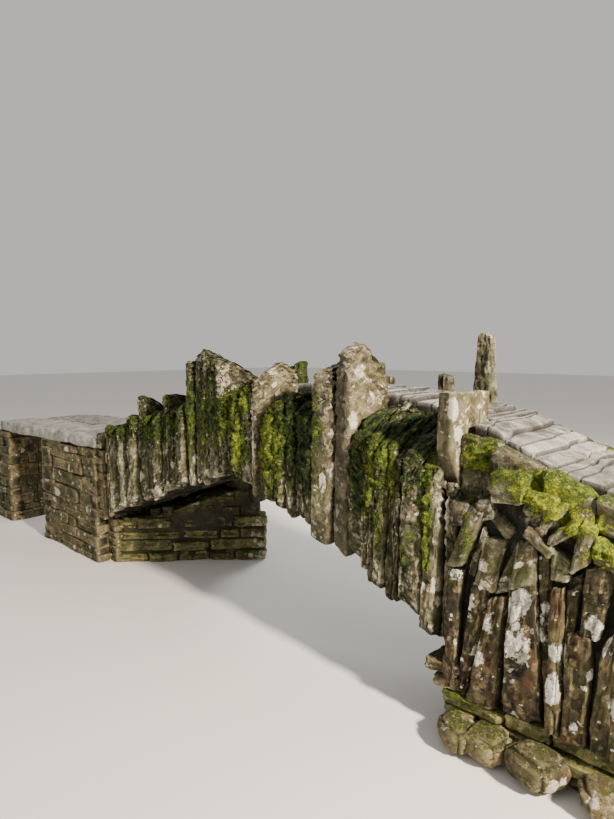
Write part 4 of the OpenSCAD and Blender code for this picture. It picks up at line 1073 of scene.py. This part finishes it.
# springing stones at the right: foot, top, where they start, and how far out their face is
springing = dict(rows=((0.3, 0.4, 2.20, 0.724), (0.4, 0.5, 2.15, 0.746)), toX=2.38, depth=0.24, lengths=(0.3, 0.4),
                 cells=(16, 10, 8))
parts = []
for side in (-1, 1):
    for low, top, x0, y in springing["rows"]:
        seed += 3
        ends = [(x0, side * y), (springing["toX"], side * y)][::-side]
        parts += course(*ends, low, top, springing["depth"], springing["lengths"], springing["cells"], seed, plinthLook,
                        stand=0.0)
makePiece("right_springing_stones_stone", parts, "fieldRubble", "rubble", ["right_springing_stones"], mossy=0.8)

# footing courses under both wings
footing = dict(fromX=2.26, top=0.3, tall=(0.08, 0.14), depth=0.24, lengths=(0.16, 0.50), stand=0.05,
               nearCells=(9, 4, 5), farCells=(7, 3, 4))
parts, z, k = [], 0.0, 0
while z < footing["top"] - 0.01:
    nextZ = footing["top"] if footing["top"] - z < 0.14 else z + draw(8000 + k, *footing["tall"])
    near, far = [[(footing["fromX"], side * hw), (bridge["halfLength"], side * hw)] for side in (-1, 1)]
    parts += course(*near, z, nextZ, footing["depth"], footing["lengths"], footing["nearCells"], 8100 + 60 * k,
                    plinthLook, stand=footing["stand"])
    parts += course(*far[::-1], z, nextZ, footing["depth"], footing["lengths"], footing["farCells"], 8600 + 60 * k,
                    plinthLook, stand=footing["stand"])
    z, k = nextZ, k + 1

# loose boulders at the water line: place and radius
boulder = dict(cells=(16, 14, 12), along=1.02, across=0.90, up=0.64, turn=0.5, places=(
    (2.44, -0.80, 0.14), (2.63, -0.79, 0.155), (2.95, -0.785, 0.17), (3.33, -0.78, 0.14), (2.64, 0.79, 0.175),
    (3.12, 0.78, 0.15)))
boulderLook = dict(rounding=0.09, step=0.006, flake=0.005, lump=0.04, fine=0.003, ragged=0.0, chips=5)
boulders = []
for x, y, r in boulder["places"]:
    def place(q, turn=draw(int(x * 100), -boulder["turn"], boulder["turn"])):
        # the cube drawn towards a ball: times the largest over the cubic norm of its coordinates
        b = 2 * q - 1
        b = b * (np.abs(b).max(1) / ((np.abs(b) ** 3).sum(1) ** (1 / 3) + 1e-9))[:, None]
        u, v = b[:, 0] * boulder["along"] * r, b[:, 1] * boulder["across"] * r
        return np.stack([x + u * math.cos(turn) - v * math.sin(turn), y + u * math.sin(turn) + v * math.cos(turn),
                         0.01 + (b[:, 2] + 1) * boulder["up"] * r], 1)
    seed += 3
    boulders.append(stone(place, (1.9 * r, 1.75 * r, 1.25 * r), boulder["cells"], seed, boulderLook, grainAxis=2))
makePiece("wing_footing_stone", parts, "riverSlate", "river_stone", ["wing_footing"], damp=0.15)
makePiece("wing_footing_boulders", boulders, "fieldRubble", "river_stone", [], mossy=0.8, damp=0.17)

# courses on the abutment: its face under the arch, and the plain cut end of the ramp, a little clear of the solid core
abutment = dict(cells=(8, 3, 5), depth=0.12, x=2.155, top=0.6, halfY=0.5, tall=(0.07, 0.13), lengths=(0.16, 0.40),
                endX=5.600, endHalfY=0.525, endTall=(0.09, 0.16), endLengths=(0.14, 0.42), endStand=0.01)
parts, z, k = [], 0.0, 0
while z < abutment["top"] - 0.02:
    nextZ = abutment["top"] if abutment["top"] - z < 0.14 else z + draw(9000 + k, *abutment["tall"])
    parts += course((abutment["x"], abutment["halfY"]), (abutment["x"], -abutment["halfY"]), z, nextZ,
                    abutment["depth"], abutment["lengths"], abutment["cells"], 9100 + 60 * k)
    z, k = nextZ, k + 1
z, k = 0.0, 0
while z < deckLine(bridge["halfLength"]) - 0.12:
    nextZ = min(z + draw(9300 + k, *abutment["endTall"]), deckLine(bridge["halfLength"]) - 0.09)
    parts += course((abutment["endX"], -abutment["endHalfY"]), (abutment["endX"], abutment["endHalfY"]), z, nextZ,
                    abutment["depth"], abutment["endLengths"], abutment["cells"], 9400 + 60 * k,
                    stand=abutment["endStand"])
    z, k = nextZ, k + 1
makePiece("abutment_face_stone", parts, "riverSlate", "rubble", [])
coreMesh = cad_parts["right_abutment_core"].data
coreMesh.materials.clear()
coreMesh.materials.append(materials["fieldRubble"])
print("right side made")

# seamless pale paper under and behind, and studio light: a hard sun-like key and a soft room
studio = dict(paper="#dedbd5", paperRough=0.9, room="#eceae7", roomStrength=0.70, floorHalf=60, lamps=(
    ("keyLight", (11.0, -2.2, 6.8), (0.5, 0, 1.2), 4600, 0.9, "#fff0dc"),
    ("fillLight", (-3, -9, 5), (0, 0, 1), 170, 6.0, "#ffffff"),
    ("backLight", (-3, 8, 8), (0, 0, 1.8), 700, 3.0, "#ffffff")))
floorMesh = bpy.data.meshes.new("floor")
floorMesh.from_pydata([(x, y, 0) for x, y in outline(*(studio["floorHalf"] * np.array([-1, 1, -1, 1])).tolist())], [],
                      [(0, 1, 2, 3)])
floor = bpy.data.objects.new("floor", floorMesh)
bpy.context.scene.collection.objects.link(floor)
paper = bpy.data.materials.new("paperSweep")
paper.use_nodes = True
sheet = paper.node_tree.nodes["Principled BSDF"].inputs
sheet["Base Color"].default_value = linear(studio["paper"])
sheet["Roughness"].default_value = studio["paperRough"]
floorMesh.materials.append(paper)
room = bpy.data.worlds.new("softRoom")
room.use_nodes = True
air = room.node_tree.nodes["Background"].inputs
air[0].default_value = linear(studio["room"])
air[1].default_value = studio["roomStrength"]
bpy.context.scene.world = room
for name, place, aim, watts, size, colour in studio["lamps"]:
    lamp = bpy.data.lights.new(name, "AREA")
    lamp.energy, lamp.size = watts, size
    lamp.color = linear(colour)[:3]
    holder = bpy.data.objects.new(name, lamp)
    d = np.array(aim) - np.array(place)
    holder.location = place
    holder.rotation_euler = (math.atan2(math.hypot(d[0], d[1]), -d[2]), 0, math.atan2(d[1], d[0]) - math.pi / 2)
    bpy.context.scene.collection.objects.link(holder)
print("floor and lights made")
